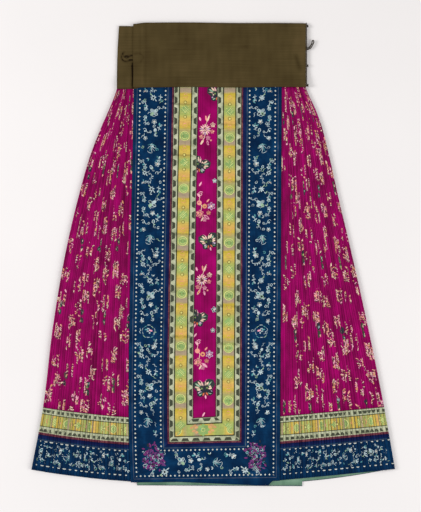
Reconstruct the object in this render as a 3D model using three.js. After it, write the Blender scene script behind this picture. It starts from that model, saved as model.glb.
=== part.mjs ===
// A pleated wrap skirt laid flat with its front up, in millimetres.
// X runs across the skirt and Y from the hem up to the waistband. Z is up from the surface it lies on.
// Places along the skirt are given as "down", the distance below the waistband's top edge.
import * as THREE from "three";

const { lerp, smoothstep } = THREE.MathUtils;

// Driving dimensions
const LENGTH = 965;
const SEAM_DOWN = 135;
const BAND_TOP = { left: -167, right: 192.8, dip: 3 };
const TAB = { left: -200.3, lean: 4.2, bow: 1.5, top: 7.3, bottom: 138.3 };
const BAND_SET_IN = { back: 2, under: 1.5, settle: 27 };
const PIECE_GAP = 0.3;
const TUCK = 6;

// Cloth walls, as the heights of their lower faces and their thickness
const BACK = { height: 0, thick: 1.4 };
const LINING = { height: BACK.thick + PIECE_GAP, thick: 1 };
const FRONT = { height: LINING.height + LINING.thick + PIECE_GAP, thick: 1.2 };
const RIBBON = { height: FRONT.height + FRONT.thick + PIECE_GAP, thick: 1 };
const PIPING_THICK = 1.1;
const BAND_THICK = 1.5;
const BACK_BAND_THICK = 2.4;

// The front panel's edges lean a little to the left on their way down, and its left edge bows out
const PANEL = {
  left: { waist: -165.2, hem: -171.6, bow: 9.4 },
  right: { waist: 142.3, hem: 138.1, bow: 0 },
  hem: { left: 956.4, right: 953 },
};
const BACK_PANEL = {
  left: { waist: -156, hem: -158.7, bow: 0 },
  right: { waist: 181, hem: 184.9, bow: 0 },
  hem: { left: 963, right: 964.6 },
};

// Widths of the bands that frame a panel, beside it and along its hem, from the outside in
const BORDER = { beside: 80, below: 80 };
const PIPING = { beside: 2.8, below: 2.8 };
const TRIM = { beside: 50.6, below: 50.6 };
const FRAME_STEPS = { beside: 18, below: 6 };

// Outer edges of the pleated sides
const SIDE_EDGE = [
  { down: 129, left: -198, right: 190 },
  { down: 138, left: -200.3, right: 193 },
  { down: 182, left: -217, right: 213 },
  { down: 210, left: -229.5, right: 223.5 },
  { down: 267, left: -252.3, right: 238.5 },
  { down: 359, left: -279.3, right: 259 },
  { down: 475, left: -306.4, right: 286.4 },
  { down: 633, left: -333.4, right: 321.5 },
  { down: 802, left: -354.2, right: 355.5 },
  { down: 930, left: -378.2, right: 378.2 },
];

// Each pleated side: its pleats, and how far down its hem lies at the panel, halfway and at the side edge
const PLEATED = {
  left: { pleats: 35, hem: [954.3, 944.8, 929.8] },
  right: { pleats: 40, hem: [952, 940.6, 928.5] },
};
const BACK_PLEATED = {
  left: { hem: [951, 941, 926] },
  right: { hem: [955, 944, 927] },
};

// How far across its pleated side each layer of the back reaches, and how the lining is set in
const BACK_REACH = { pleats: 0.995, lining: 0.99 };
const LINING_INSET = { beside: 1, below: 1.2 };
const BACK_STEPS = 12;

// Shares of the way from the seam to the hem where the bands across the pleats start
const TRIM_START = 0.838;
const HEM_BAND_START = 0.908;

// The pleats' thickness under their folds, the step at each fold, and how the broad soft swells rise
const PLEAT_FORM = [
  { along: 0, thick: 1.7, step: 0.5 },
  { along: 0.1, thick: 1.5, step: 0.9 },
  { along: 0.4, thick: 1.3, step: 1.3 },
  { along: 1, thick: 1.1, step: 1.6 },
];
const SWELLS = [
  { side: "left", across: 0.32, spread: 0.14, rise: 0.8 },
  { side: "left", across: 0.74, spread: 0.18, rise: 1.1 },
  { side: "right", across: 0.24, spread: 0.12, rise: 0.6 },
  { side: "right", across: 0.55, spread: 0.14, rise: 0.9 },
  { side: "right", across: 0.86, spread: 0.1, rise: 1.1 },
];
const STEP_SHARE = 0.12;
const GROUND_ROWS = [0, 0.05, 0.12, 0.22, 0.34, 0.47, 0.6, 0.73, TRIM_START];

// Heights of the lower faces of the two upper waistband layers, by distance above the seam
const BAND_FORM = [
  { up: 0, under: 5.9, front: 7.7 },
  { up: 9, under: 5.9, front: 7.7 },
  { up: 17, under: 4.8, front: 6.8 },
  { up: 26, under: 3.2, front: 5.2 },
  { up: 38, under: 2.7, front: 4.6 },
  { up: 140, under: 2.7, front: 4.5 },
];

const BAND_ROWS = [0, 0.07, 0.13, 0.2, 0.29, 0.5, 0.75, 1];
const BAND_STEPS = 9;

// Cord and thread
const EDGE_CORD = { radius: 0.8, downs: [1, 40, 80, 108, 118, 126, 134] };
const LOOP = { radius: 0.9, strands: 2.8, down: 55, droop: 0.06 };
const LOOP_REACH = [
  { out: 0, up: 0, turn: 0.1 },
  { out: 4.5, up: 1.6, turn: 0.6 },
  { out: 8.5, up: 5.6, turn: 0.95 },
  { out: 11.2, up: 11, turn: 1.2 },
  { out: 12.6, up: 16.5, turn: 1.35 },
];
const KNOTS = [{ down: 7.5 }, { down: 90 }, { down: 131 }];
const KNOT_SIZE = { half: 1.7, tall: 3.2 };
const BUTTONHOLE = { x: -180.5, down: 71.5, radius: 2.6, thread: 0.7, stretch: 1.5 };

const MATERIALS = {
  magenta_silk: { color: 0x96005f, roughness: 0.55 },
  navy_ribbon: { color: 0x003262, roughness: 0.6 },
  gold_ribbon: { color: 0xe0c85a, roughness: 0.45 },
  rose_piping: { color: 0xa52d5a, roughness: 0.6 },
  olive_cotton: { color: 0x4b3f26, roughness: 0.85 },
  green_lining: { color: 0x5f9678, roughness: 0.7 },
};

const skirt = new THREE.Group();

function add(name, slot, geometry) {
  const material = new THREE.MeshStandardMaterial({ ...MATERIALS[slot], metalness: 0 });
  const mesh = new THREE.Mesh(geometry, material);
  mesh.name = name;
  skirt.add(mesh);
  return mesh;
}

// Reads a column of a table, straight from one row to the next
function read(rows, key, column, at) {
  const last = rows.length - 1;
  const next = Math.min(last, Math.max(1, rows.findIndex((row) => row[key] >= at)));
  const [a, b] = [rows[next - 1], rows[next]];
  const share = THREE.MathUtils.clamp((at - a[key]) / (b[key] - a[key]), 0, 1);
  return lerp(a[column], b[column], share);
}

const yAt = (down) => LENGTH / 2 - down;

// Evenly spaced numbers from 0 to 1
const shares = (steps) => Array.from({ length: steps + 1 }, (_, step) => step / steps);

// A closed solid from points and faces, turned so that its faces point out
function solid(points, faces) {
  let volume = 0;
  const corner = (index) => new THREE.Vector3().fromArray(points, index * 3);
  for (let f = 0; f < faces.length; f += 3) {
    const [a, b, c] = [corner(faces[f]), corner(faces[f + 1]), corner(faces[f + 2])];
    volume += a.dot(b.cross(c));
  }
  if (volume < 0) faces.reverse();
  const geometry = new THREE.BufferGeometry();
  geometry.setAttribute("position", new THREE.Float32BufferAttribute(points, 3));
  geometry.setIndex(faces);
  geometry.computeVertexNormals();
  return geometry;
}

// Faces of a grid and the loop of its rim, for points counted from a first index
function gridFaces(tall, wide, first, flipped) {
  const faces = [];
  for (let r = 0; r < tall - 1; r++) {
    for (let c = 0; c < wide - 1; c++) {
      const a = first + r * wide + c;
      const quad = [a, a + wide, a + wide + 1, a, a + wide + 1, a + 1];
      faces.push(...(flipped ? quad.reverse() : quad));
    }
  }
  return faces;
}

function rimLoop(tall, wide) {
  const loop = [];
  for (let c = 0; c < wide - 1; c++) loop.push(c);
  for (let r = 0; r < tall - 1; r++) loop.push(r * wide + wide - 1);
  for (let c = wide - 1; c > 0; c--) loop.push((tall - 1) * wide + c);
  for (let r = tall - 1; r > 0; r--) loop.push(r * wide);
  return loop;
}

// A wall over a grid of [x, y] points, between an upper and a lower height at each
function wall(grid, over, under) {
  const [tall, wide] = [grid.length, grid[0].length];
  const points = [];
  for (const height of [over, under]) {
    grid.forEach((row, r) => row.forEach(([x, y], c) => points.push(x, y, height(x, y, r, c))));
  }
  const count = tall * wide;
  const faces = [...gridFaces(tall, wide, 0, false), ...gridFaces(tall, wide, count, true)];
  const loop = rimLoop(tall, wide);
  loop.forEach((a, step) => {
    const b = loop[(step + 1) % loop.length];
    faces.push(a, b, b + count, a, b + count, a + count);
  });
  return solid(points, faces);
}

// A pleated wall: its folds are in the upper face alone, over a plain face made from its rim
function pleatedWall(grid, over, height) {
  const [tall, wide] = [grid.length, grid[0].length];
  const points = [];
  grid.forEach((row, r) => row.forEach(([x, y], c) => points.push(x, y, over(r, c))));
  const loop = rimLoop(tall, wide);
  const below = new Map(loop.map((index, step) => [index, tall * wide + step]));
  for (const index of loop) points.push(points[index * 3], points[index * 3 + 1], height);
  const faces = gridFaces(tall, wide, 0, false);
  loop.forEach((a, step) => {
    const b = loop[(step + 1) % loop.length];
    faces.push(a, b, below.get(b), a, below.get(b), below.get(a));
  });
  const low = (r, c) => below.get(r * wide + c);
  const last = tall - 1;
  for (let c = 1; c < wide - 2; c++) {
    faces.push(low(0, c), low(0, c + 1), low(last, c + 1));
    faces.push(low(0, c), low(last, c + 1), low(last, c));
  }
  for (let r = 0; r < last; r++) {
    faces.push(low(0, 1), low(r + 1, 0), low(r, 0));
    faces.push(low(0, wide - 2), low(r, wide - 1), low(r + 1, wide - 1));
  }
  faces.push(low(0, 1), low(last, 1), low(last, 0));
  faces.push(low(0, wide - 2), low(last, wide - 1), low(last, wide - 2));
  return solid(points, faces);
}

// A flat wall cut to an outline
function flatWall(outline, height, thick) {
  const shape = new THREE.Shape(outline.map(([x, y]) => new THREE.Vector2(x, y)));
  const geometry = new THREE.ExtrudeGeometry(shape, { depth: thick, bevelEnabled: false });
  return geometry.translate(0, 0, height);
}

function cord(path, radius, steps) {
  const section = new THREE.Shape();
  section.absarc(0, 0, radius, 0, Math.PI * 2);
  const extrudePath = new THREE.CatmullRomCurve3(path.map((point) => new THREE.Vector3(...point)));
  return new THREE.ExtrudeGeometry(section, { steps, extrudePath, curveSegments: 4 });
}

// The soft unevenness of the front panel, which everything on it follows
function panelLift(x, y) {
  const fade = smoothstep(yAt(SEAM_DOWN) - y, 10, 80);
  return fade * (0.22 * Math.sin(x / 47 + y / 130) + 0.2 * Math.sin(y / 83 - x / 190) + 0.3);
}

// Where a panel's side edge lies, a distance down
function panelEdge(panel, side, down) {
  const { waist, hem, bow } = panel[side];
  const reach = (down - SEAM_DOWN) / (panel.hem[side] - SEAM_DOWN);
  return lerp(waist, hem, reach) - bow * Math.max(0, reach) * (1 - reach ** 6);
}

// A point on a panel near one side, by its share of the way down, set in by a band's width
function panelPoint(panel, side, inset, top, along) {
  const down = lerp(top, panel.hem[side] - inset.below, along);
  const x = panelEdge(panel, side, down);
  return [x + (side === "left" ? inset.beside : -inset.beside), yAt(down)];
}

const grow = (...bands) => ({
  beside: bands.reduce((sum, band) => sum + band.beside, 0),
  below: bands.reduce((sum, band) => sum + band.below, 0),
});
const HAIR = { beside: PIECE_GAP, below: PIECE_GAP };

// Where each framing band starts and ends, in from the panel's edge
const BANDS = {
  border: { outer: grow(), inner: grow(BORDER) },
  piping: { outer: grow(BORDER, HAIR), inner: grow(BORDER, HAIR, PIPING) },
  trim: { outer: grow(BORDER, HAIR, PIPING, HAIR), inner: grow(BORDER, HAIR, PIPING, HAIR, TRIM) },
};

// The grid of one strip of a mitred frame: down one side, or along the hem
function sideStrip(panel, side, band, top, steps) {
  return shares(steps).map((along) => [
    panelPoint(panel, side, band.outer, top, along),
    panelPoint(panel, side, band.inner, top, along),
  ]);
}

function hemStrip(panel, band, steps) {
  const corner = (side, inset) => new THREE.Vector2(...panelPoint(panel, side, inset, SEAM_DOWN, 1));
  return shares(steps).map((across) => [band.outer, band.inner].map((inset) => {
    const left = corner("left", inset);
    return left.lerp(corner("right", inset), across).toArray();
  }));
}

// Mitred strips stand a hair apart, so the hem strip's slanted ends are cut back
function cutEnds(grid) {
  for (const point of grid[0]) point[0] += PIECE_GAP * 1.5;
  for (const point of grid.at(-1)) point[0] -= PIECE_GAP * 1.5;
  return grid;
}

const onPanel = (grid, thick) => wall(
  grid,
  (x, y) => RIBBON.height + thick + panelLift(x, y),
  (x, y) => RIBBON.height + panelLift(x, y),
);

function buildFrontPanel() {
  const top = SEAM_DOWN - TUCK;
  const whole = shares(FRAME_STEPS.beside).map((along) => {
    const [left, right] = ["left", "right"].map((side) =>
      new THREE.Vector2(...panelPoint(PANEL, side, grow(), top, along)));
    return shares(FRAME_STEPS.below).map((across) => left.clone().lerp(right, across).toArray());
  });
  const over = (x, y) => FRONT.height + FRONT.thick + panelLift(x, y);
  add("front_panel", "magenta_silk", wall(whole, over, () => FRONT.height));
  const looks = [
    { name: "border", slot: "navy_ribbon", thick: RIBBON.thick },
    { name: "piping", slot: "rose_piping", thick: PIPING_THICK },
    { name: "trim", slot: "gold_ribbon", thick: RIBBON.thick },
  ];
  for (const { name, slot, thick } of looks) {
    for (const side of ["left", "right"]) {
      const grid = sideStrip(PANEL, side, BANDS[name], top, FRAME_STEPS.beside);
      add(`${name}_${side}`, slot, onPanel(grid, thick));
    }
    const grid = cutEnds(hemStrip(PANEL, BANDS[name], FRAME_STEPS.below));
    add(`${name}_bottom`, slot, onPanel(grid, thick));
  }
}

// A point of a pleated side, by its share along from the seam to the hem and across to the side edge
function pleatPoint(panel, side, hem, top, along, across) {
  const inner = lerp(top, hem[0], along);
  const outer = lerp(top, hem[2], along);
  const out = side === "left" ? -1 : 1;
  const start = panelEdge(panel, side, inner) + out * PIECE_GAP;
  const bow = (hem[1] - (hem[0] + hem[2]) / 2) * 4 * across * (1 - across) * along ** 2;
  const x = lerp(start, read(SIDE_EDGE, "down", side, outer), across);
  return [x, yAt(lerp(inner, outer, across) + bow)];
}

// The same unevenness each time, between 0 and 1, for the fold of a given number
const uneven = (fold) => (Math.sin(fold * 12.9898) * 43758.5453) % 1 / 2 + 0.5;

// Knife pleats: each rises slowly to its folded edge and steps down to the next
function pleatColumns(pleats) {
  const columns = [];
  for (let fold = 0; fold < pleats; fold++) {
    columns.push({ across: (fold + (fold ? STEP_SHARE : 0)) / pleats, fold, crest: 0 });
    columns.push({ across: (fold + 1) / pleats, fold, crest: 1 });
  }
  return columns;
}

function pleatHeight(side, along, { across, fold, crest }) {
  const thick = read(PLEAT_FORM, "along", "thick", along);
  const settle = lerp(0.35, 1, smoothstep(across, 0, 0.08));
  const step = read(PLEAT_FORM, "along", "step", along) * (0.7 + 0.45 * uneven(fold)) * settle;
  const swells = SWELLS.filter((swell) => swell.side === side);
  const rise = swells.reduce((sum, swell) => {
    const off = (across - swell.across) / swell.spread;
    return sum + swell.rise * Math.exp(-off * off);
  }, 0);
  return FRONT.height + thick + crest * step + rise * smoothstep(along, 0.05, 0.35);
}

function buildPleats(side) {
  const { pleats, hem } = PLEATED[side];
  const columns = pleatColumns(pleats);
  const top = SEAM_DOWN - TUCK;
  const gap = PIECE_GAP / (hem[0] - top);
  const zones = [
    { name: "pleats", slot: "magenta_silk", rows: GROUND_ROWS },
    { name: "pleat_trim", slot: "gold_ribbon", rows: [TRIM_START + gap, HEM_BAND_START] },
    { name: "hem_band", slot: "navy_ribbon", rows: [HEM_BAND_START + gap, 0.955, 1] },
  ];
  for (const { name, slot, rows } of zones) {
    const grid = rows.map((along) => columns.map(({ across }) =>
      pleatPoint(PANEL, side, hem, top, along, across)));
    const over = (r, c) => pleatHeight(side, rows[r], columns[c]);
    add(`${name}_${side}`, slot, pleatedWall(grid, over, FRONT.height));
  }
}

// The outline of a part of a back pleated side between two shares of the way to the hem
function backSideOutline(side, from, to) {
  const { hem } = BACK_PLEATED[side];
  const at = (along, across) => pleatPoint(BACK_PANEL, side, hem, SEAM_DOWN, along, across);
  const steps = shares(BACK_STEPS);
  return [
    ...steps.map((share) => at(lerp(from, to, share), BACK_REACH.pleats)),
    ...steps.slice(1).map((share) => at(to, lerp(BACK_REACH.pleats, 0, share))),
    ...steps.slice(0, -1).map((share) => at(from, lerp(0, BACK_REACH.pleats, share))),
  ];
}

function buildBack() {
  const { height, thick } = BACK;
  const flat = (name, slot, outline) => add(name, slot, flatWall(outline, height, thick));
  const strip = (grid) => [...grid.map(([outer]) => outer), ...grid.map(([, inner]) => inner).reverse()];
  for (const [name, slot] of [["border", "navy_ribbon"], ["trim", "gold_ribbon"]]) {
    const band = name === "border" ? BANDS.border : {
      outer: grow(BORDER, HAIR),
      inner: grow(BORDER, HAIR, TRIM),
    };
    for (const side of ["left", "right"]) {
      flat(`back_${name}_${side}`, slot, strip(sideStrip(BACK_PANEL, side, band, SEAM_DOWN, 1)));
    }
    flat(`back_${name}_bottom`, slot, strip(cutEnds(hemStrip(BACK_PANEL, band, 1))));
  }
  const middle = grow(BORDER, HAIR, TRIM, HAIR);
  flat("back_panel", "magenta_silk", [
    panelPoint(BACK_PANEL, "left", middle, SEAM_DOWN, 0),
    panelPoint(BACK_PANEL, "left", middle, SEAM_DOWN, 1),
    panelPoint(BACK_PANEL, "right", middle, SEAM_DOWN, 1),
    panelPoint(BACK_PANEL, "right", middle, SEAM_DOWN, 0),
  ]);
  const gap = PIECE_GAP / (BACK_PLEATED.left.hem[0] - SEAM_DOWN);
  for (const side of ["left", "right"]) {
    flat(`back_pleats_${side}`, "magenta_silk", backSideOutline(side, 0, TRIM_START));
    flat(`back_pleat_trim_${side}`, "gold_ribbon",
      backSideOutline(side, TRIM_START + gap, HEM_BAND_START));
    flat(`back_hem_band_${side}`, "navy_ribbon", backSideOutline(side, HEM_BAND_START + gap, 1));
  }
}

// The lining shows as a strip below the front panel's hem and along the right pleats
function buildLining() {
  const { beside, below } = LINING_INSET;
  const onSide = (name, along, across) => {
    const { hem } = BACK_PLEATED[name];
    const [x, y] = pleatPoint(BACK_PANEL, name, hem, SEAM_DOWN, along, across);
    return [x, y + (along === 1 ? below : 0)];
  };
  const side = (name) => shares(BACK_STEPS).map((along) => onSide(name, along, BACK_REACH.lining));
  const inner = (name) => onSide(name, 1, 0);
  const corner = (name) => panelPoint(BACK_PANEL, name, { beside, below }, SEAM_DOWN, 1);
  const outline = [
    ...side("left"), inner("left"), corner("left"), corner("right"), inner("right"),
    ...side("right").reverse(),
  ];
  add("lining_back", "green_lining", flatWall(outline, LINING.height, LINING.thick));
}

// A waistband layer over a grid of rows from its lower edge up, at heights read from the table
function bandLayer(name, column, left, right, bottom, top) {
  const grid = BAND_ROWS.map((up) => shares(BAND_STEPS).map((across) => {
    const x = lerp(left(up), right, across);
    return [x, yAt(lerp(bottom(x), top(x), up))];
  }));
  const height = (x, y) => read(BAND_FORM, "up", column, y - yAt(SEAM_DOWN));
  add(name, "olive_cotton", wall(grid, (x, y) => height(x, y) + BAND_THICK, height));
}

// The three layers of the waistband are folded round, and each is set in a little behind the one above
function buildWaistband() {
  const { back, under, settle } = BAND_SET_IN;
  const backOutline = [
    [TAB.left + back, yAt(SEAM_DOWN - PIECE_GAP)],
    [BAND_TOP.right - back, yAt(SEAM_DOWN - PIECE_GAP)],
    [BAND_TOP.right - back, yAt(BAND_TOP.dip)],
    [BAND_TOP.left, yAt(BAND_TOP.dip)],
    [TAB.left + TAB.lean + back, yAt(TAB.top + back)],
  ];
  add("waistband_back", "olive_cotton", flatWall(backOutline, BACK.height, BACK_BAND_THICK));
  const covered = (x) => smoothstep(x, BAND_TOP.left, BAND_TOP.left + settle);
  const tabEdge = (up) => TAB.left + TAB.lean * up - TAB.bow * Math.sin(Math.PI * up);
  const tabBottom = (x) => lerp(TAB.bottom, SEAM_DOWN - under, covered(x));
  const tabTop = (x) => lerp(TAB.top, BAND_TOP.dip, covered(x));
  bandLayer("waistband_under", "under", tabEdge, BAND_TOP.right - under, tabBottom, tabTop);
  const frontTop = (x) => BAND_TOP.dip * (1 - covered(x));
  bandLayer("waistband_front", "front", () => BAND_TOP.left, BAND_TOP.right, () => SEAM_DOWN, frontTop);
}

const bandHeight = (down) => read(BAND_FORM, "up", "front", SEAM_DOWN - down) + BAND_THICK / 2;

function buildFastenings() {
  const edgeX = BAND_TOP.right + PIECE_GAP + EDGE_CORD.radius;
  const edge = EDGE_CORD.downs.map((down) => [edgeX, yAt(down), bandHeight(down)]);
  add("waistband_edge_cord", "olive_cotton", cord(edge, EDGE_CORD.radius, 12));

  const startX = edgeX + EDGE_CORD.radius + PIECE_GAP;
  const loopZ = (out) => bandHeight(LOOP.down) - out * LOOP.droop;
  const strand = (aside) => LOOP_REACH.map(({ out, up, turn }) => [
    startX + out + aside * Math.sin(turn),
    yAt(LOOP.down) + up - aside * Math.cos(turn),
    loopZ(out),
  ]);
  const half = LOOP.strands / 2;
  const tip = LOOP_REACH.at(-1);
  const over = [
    startX + tip.out + half * Math.cos(tip.turn),
    yAt(LOOP.down) + tip.up + half * Math.sin(tip.turn),
    loopZ(tip.out),
  ];
  const path = [...strand(-half), over, ...strand(half).reverse()];
  add("button_loop", "olive_cotton", cord(path, LOOP.radius, 30));

  KNOTS.forEach(({ down }, index) => {
    const knot = new THREE.SphereGeometry(1, 10, 8);
    knot.scale(KNOT_SIZE.half, KNOT_SIZE.tall, KNOT_SIZE.half);
    const mesh = add(`loop_knot_${index + 1}`, "olive_cotton", knot);
    mesh.position.set(startX + KNOT_SIZE.half, yAt(down), bandHeight(down));
  });

  const { x, down, radius, thread, stretch } = BUTTONHOLE;
  const eyelet = new THREE.TorusGeometry(radius, thread, 8, 20).scale(stretch, 1, 1);
  const tabTop = read(BAND_FORM, "up", "under", SEAM_DOWN - down) + BAND_THICK;
  add("buttonhole", "olive_cotton", eyelet).position.set(x, yAt(down), tabTop + PIECE_GAP + thread);
}

buildBack();
buildLining();
for (const side of ["left", "right"]) buildPleats(side);
buildFrontPanel();
buildWaistband();
buildFastenings();

export default skirt;
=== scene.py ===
# %% [markdown]
# # A pleated wrap skirt, laid flat with its front up
# The real skirt is silk: a flat front panel framed in woven ribbons, knife-pleated sides that flare to
# the hem, and a wide band of olive-brown cotton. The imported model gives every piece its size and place,
# and this script makes the cloth: finer folds, woven figures, threads and wear.

import math

import bpy
import numpy as np
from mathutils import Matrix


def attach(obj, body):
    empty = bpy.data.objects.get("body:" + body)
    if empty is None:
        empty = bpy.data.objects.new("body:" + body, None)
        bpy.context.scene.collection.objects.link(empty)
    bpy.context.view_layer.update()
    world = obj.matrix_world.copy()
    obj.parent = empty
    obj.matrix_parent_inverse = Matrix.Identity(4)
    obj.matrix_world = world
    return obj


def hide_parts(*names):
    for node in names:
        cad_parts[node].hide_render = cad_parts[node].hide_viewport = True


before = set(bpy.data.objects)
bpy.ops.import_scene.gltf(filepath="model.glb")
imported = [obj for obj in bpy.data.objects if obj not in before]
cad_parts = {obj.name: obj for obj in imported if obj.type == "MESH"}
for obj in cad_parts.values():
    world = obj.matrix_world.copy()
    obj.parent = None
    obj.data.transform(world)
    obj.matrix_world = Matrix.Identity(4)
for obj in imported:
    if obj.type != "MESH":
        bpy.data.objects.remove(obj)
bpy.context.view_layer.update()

# %% [markdown]
# ## Sizes
# A tailor measures in millimetres, so every size here is in millimetres and turns into metres only when
# a mesh is made. X runs across the skirt and Y from the hem up to the waistband. "Down" is the distance
# below the waistband's top edge, which is how a skirt is measured.

# %% Sizes of the skirt
MM = 0.001
LENGTH = 965
SEAM_DOWN = 135
TUCK = 6
PIECE_GAP = 0.3
BAND_TOP = {"left": -167, "right": 192.8, "dip": 3}
TAB = {"left": -200.3, "lean": 4.2, "bow": 1.5, "top": 7.3, "bottom": 138.3}
BAND_SET_IN = {"back": 2, "under": 1.5, "settle": 27}
BACK = {"height": 0, "thick": 1.4}
LINING = {"height": 1.7, "thick": 1.0}
FRONT = {"height": 3.0, "thick": 1.2}
RIBBON = {"height": 4.5, "thick": 1.0}
BAND_THICK = 1.5
BACK_BAND_THICK = 2.4

PANEL = {
    "left": {"waist": -165.2, "hem": -171.6, "bow": 9.4, "lowest": 956.4},
    "right": {"waist": 142.3, "hem": 138.1, "bow": 0, "lowest": 953},
}
BACK_PANEL = {
    "left": {"waist": -156, "hem": -158.7, "bow": 0, "lowest": 963},
    "right": {"waist": 181, "hem": 184.9, "bow": 0, "lowest": 964.6},
}
BORDER = 80
PIPING = 2.8
TRIM = 50.6

SIDE_EDGE = [
    {"down": 129, "left": -198, "right": 190},
    {"down": 138, "left": -200.3, "right": 193},
    {"down": 182, "left": -217, "right": 213},
    {"down": 210, "left": -229.5, "right": 223.5},
    {"down": 267, "left": -252.3, "right": 238.5},
    {"down": 359, "left": -279.3, "right": 259},
    {"down": 475, "left": -306.4, "right": 286.4},
    {"down": 633, "left": -333.4, "right": 321.5},
    {"down": 802, "left": -354.2, "right": 355.5},
    {"down": 930, "left": -378.2, "right": 378.2},
]
PLEATED = {
    "left": {"pleats": 35, "hem": [954.3, 944.8, 929.8]},
    "right": {"pleats": 40, "hem": [952, 940.6, 928.5]},
}
BACK_PLEATED = {
    "left": {"hem": [951, 941, 926]},
    "right": {"hem": [955, 944, 927]},
}
CLOTH_PER_PLEAT = 11.7
TRIM_START = 0.838
HEM_BAND_START = 0.908
print("Length, band, border and trim, in mm:", LENGTH, SEAM_DOWN, BORDER, TRIM)

# %% [markdown]
# ## Curves and unevenness
# Worn cloth is never quite straight. A short table of measured places with a smooth curve through them
# gives an outline, and a sum of a few waves from a seed gives the unevenness, the same on every run.

# %% Curves and unevenness
def lerp(a, b, share):
    return a + (b - a) * share


def ease(value, low, high):
    share = np.clip((np.asarray(value, float) - low) / (high - low), 0, 1)
    return share * share * (3 - 2 * share)


def y_at(down):
    return LENGTH / 2 - down


def read(rows, key, column, at):
    return np.interp(at, [row[key] for row in rows], [row[column] for row in rows])


def flowing(rows, key, column, at):
    """As read, but with a smooth curve through the rows."""
    keys = np.array([row[key] for row in rows], float)
    values = np.array([row[column] for row in rows], float)
    slopes = np.gradient(values, keys)
    at = np.clip(at, keys[0], keys[-1])
    i = np.clip(np.searchsorted(keys, at) - 1, 0, len(keys) - 2)
    gap = keys[i + 1] - keys[i]
    s = (at - keys[i]) / gap
    start = (2 * s**3 - 3 * s**2 + 1) * values[i] + (s**3 - 2 * s**2 + s) * gap * slopes[i]
    end = (3 * s**2 - 2 * s**3) * values[i + 1] + (s**3 - s**2) * gap * slopes[i + 1]
    return start + end


def ripple(x, y, size, seed):
    """A smooth unevenness between -1 and 1, whose waves are about as long as size."""
    draw = np.random.default_rng(seed)
    total = 0
    for _ in range(6):
        turn = draw.uniform(0, math.tau)
        wave = size * draw.uniform(0.6, 1.7)
        across = x * math.cos(turn) + y * math.sin(turn)
        total = total + np.sin(across * math.tau / wave + draw.uniform(0, 9))
    return total / 4

# %% [markdown]
# ## From a grid to cloth
# Cloth is a thin wall, so each piece is two grids of points, one for each face, joined round the rim.
# The grid also carries where each point lies on the flat cloth, as a UV map in metres, because threads
# follow the cloth and not the room. A number for each point, the tone, lets folds differ a little in
# colour, and also carries painted shade in pleat troughs, tucks and beside lifted edges.

# %% Cloth walls
def make_mesh(name, points, faces, materials, face_slots=None, smooth=None, cloth=None, tone=None):
    mesh = bpy.data.meshes.new(name)
    mesh.from_pydata((np.asarray(points, float) * MM).tolist(), [], faces)
    for material in materials:
        mesh.materials.append(material)
    count = len(mesh.polygons)
    if face_slots is not None:
        mesh.polygons.foreach_set("material_index", np.asarray(face_slots, np.int32))
    smooth = np.ones(count, bool) if smooth is None else np.asarray(smooth, bool)
    mesh.polygons.foreach_set("use_smooth", smooth)
    if cloth is not None:
        corners = np.empty(len(mesh.loops), np.int32)
        mesh.loops.foreach_get("vertex_index", corners)
        layer = mesh.uv_layers.new(name="cloth")
        layer.data.foreach_set("uv", (np.asarray(cloth, float) * MM)[corners].ravel())
    if tone is not None:
        mesh.attributes.new("tone", "FLOAT", "POINT").data.foreach_set("value", np.asarray(tone, float))
    mesh.update()
    piece = bpy.data.objects.new(name, mesh)
    bpy.context.scene.collection.objects.link(piece)
    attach(piece, "root")
    return piece


def cloth_wall(name, over, under, materials, cloth, tone, slots=None):
    """A closed wall between two grids. slots holds each gap's material, by rows, columns or both."""
    rows, columns = over.shape[:2]
    count = rows * columns
    index = np.arange(count).reshape(rows, columns)
    quads = np.stack([index[:-1, :-1], index[1:, :-1], index[1:, 1:], index[:-1, 1:]], -1).reshape(-1, 4)
    loop = np.array([*index[0, :-1], *index[:-1, -1], *index[-1, :0:-1], *index[:0:-1, 0]])
    ahead = np.roll(loop, -1)
    rim = np.stack([loop, ahead, ahead + count, loop + count], -1)
    faces = np.concatenate([quads, quads[:, ::-1] + count, rim])
    corners = [over.reshape(-1, 3)[quads[:, i]] for i in range(3)]
    upward = np.cross(corners[1] - corners[0], corners[2] - corners[0])[:, 2].sum()
    if upward < 0:
        faces = faces[:, ::-1]
    if slots is not None:
        slots = np.broadcast_to(slots, (rows - 1, columns - 1)).ravel()
        slots = np.concatenate([slots, slots, np.full(len(rim), slots[0])])
    smooth = np.arange(len(faces)) < 2 * len(quads)
    points = np.concatenate([over.reshape(-1, 3), under.reshape(-1, 3)])
    cloth = np.concatenate([cloth.reshape(-1, 2)] * 2)
    tone = np.concatenate([tone.ravel()] * 2)
    return make_mesh(name, points, faces.tolist(), materials, slots, smooth, cloth, tone)


def stack(x, y, z):
    x, y, z = np.broadcast_arrays(x, y, z)
    return np.stack([x, y, z], -1).astype(float)

# %% [markdown]
# ## Colours and threads
# Silk, ribbon and cotton all start from the same recipe: a base colour that drifts softly over the
# cloth, thread streaks along it, and a fine weave as bump. Each finish then sets its own gloss and
# sheen straight on the shader, because a number that is the same everywhere needs no node.

# %% Finishes
def linear(red, green, blue):
    """Turns a colour as a screen shows it, from 0 to 255, into light."""
    shares = [c / 255 for c in (red, green, blue)]
    return tuple(c / 12.92 if c <= 0.04045 else ((c + 0.055) / 1.055) ** 2.4 for c in shares) + (1.0,)


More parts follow.
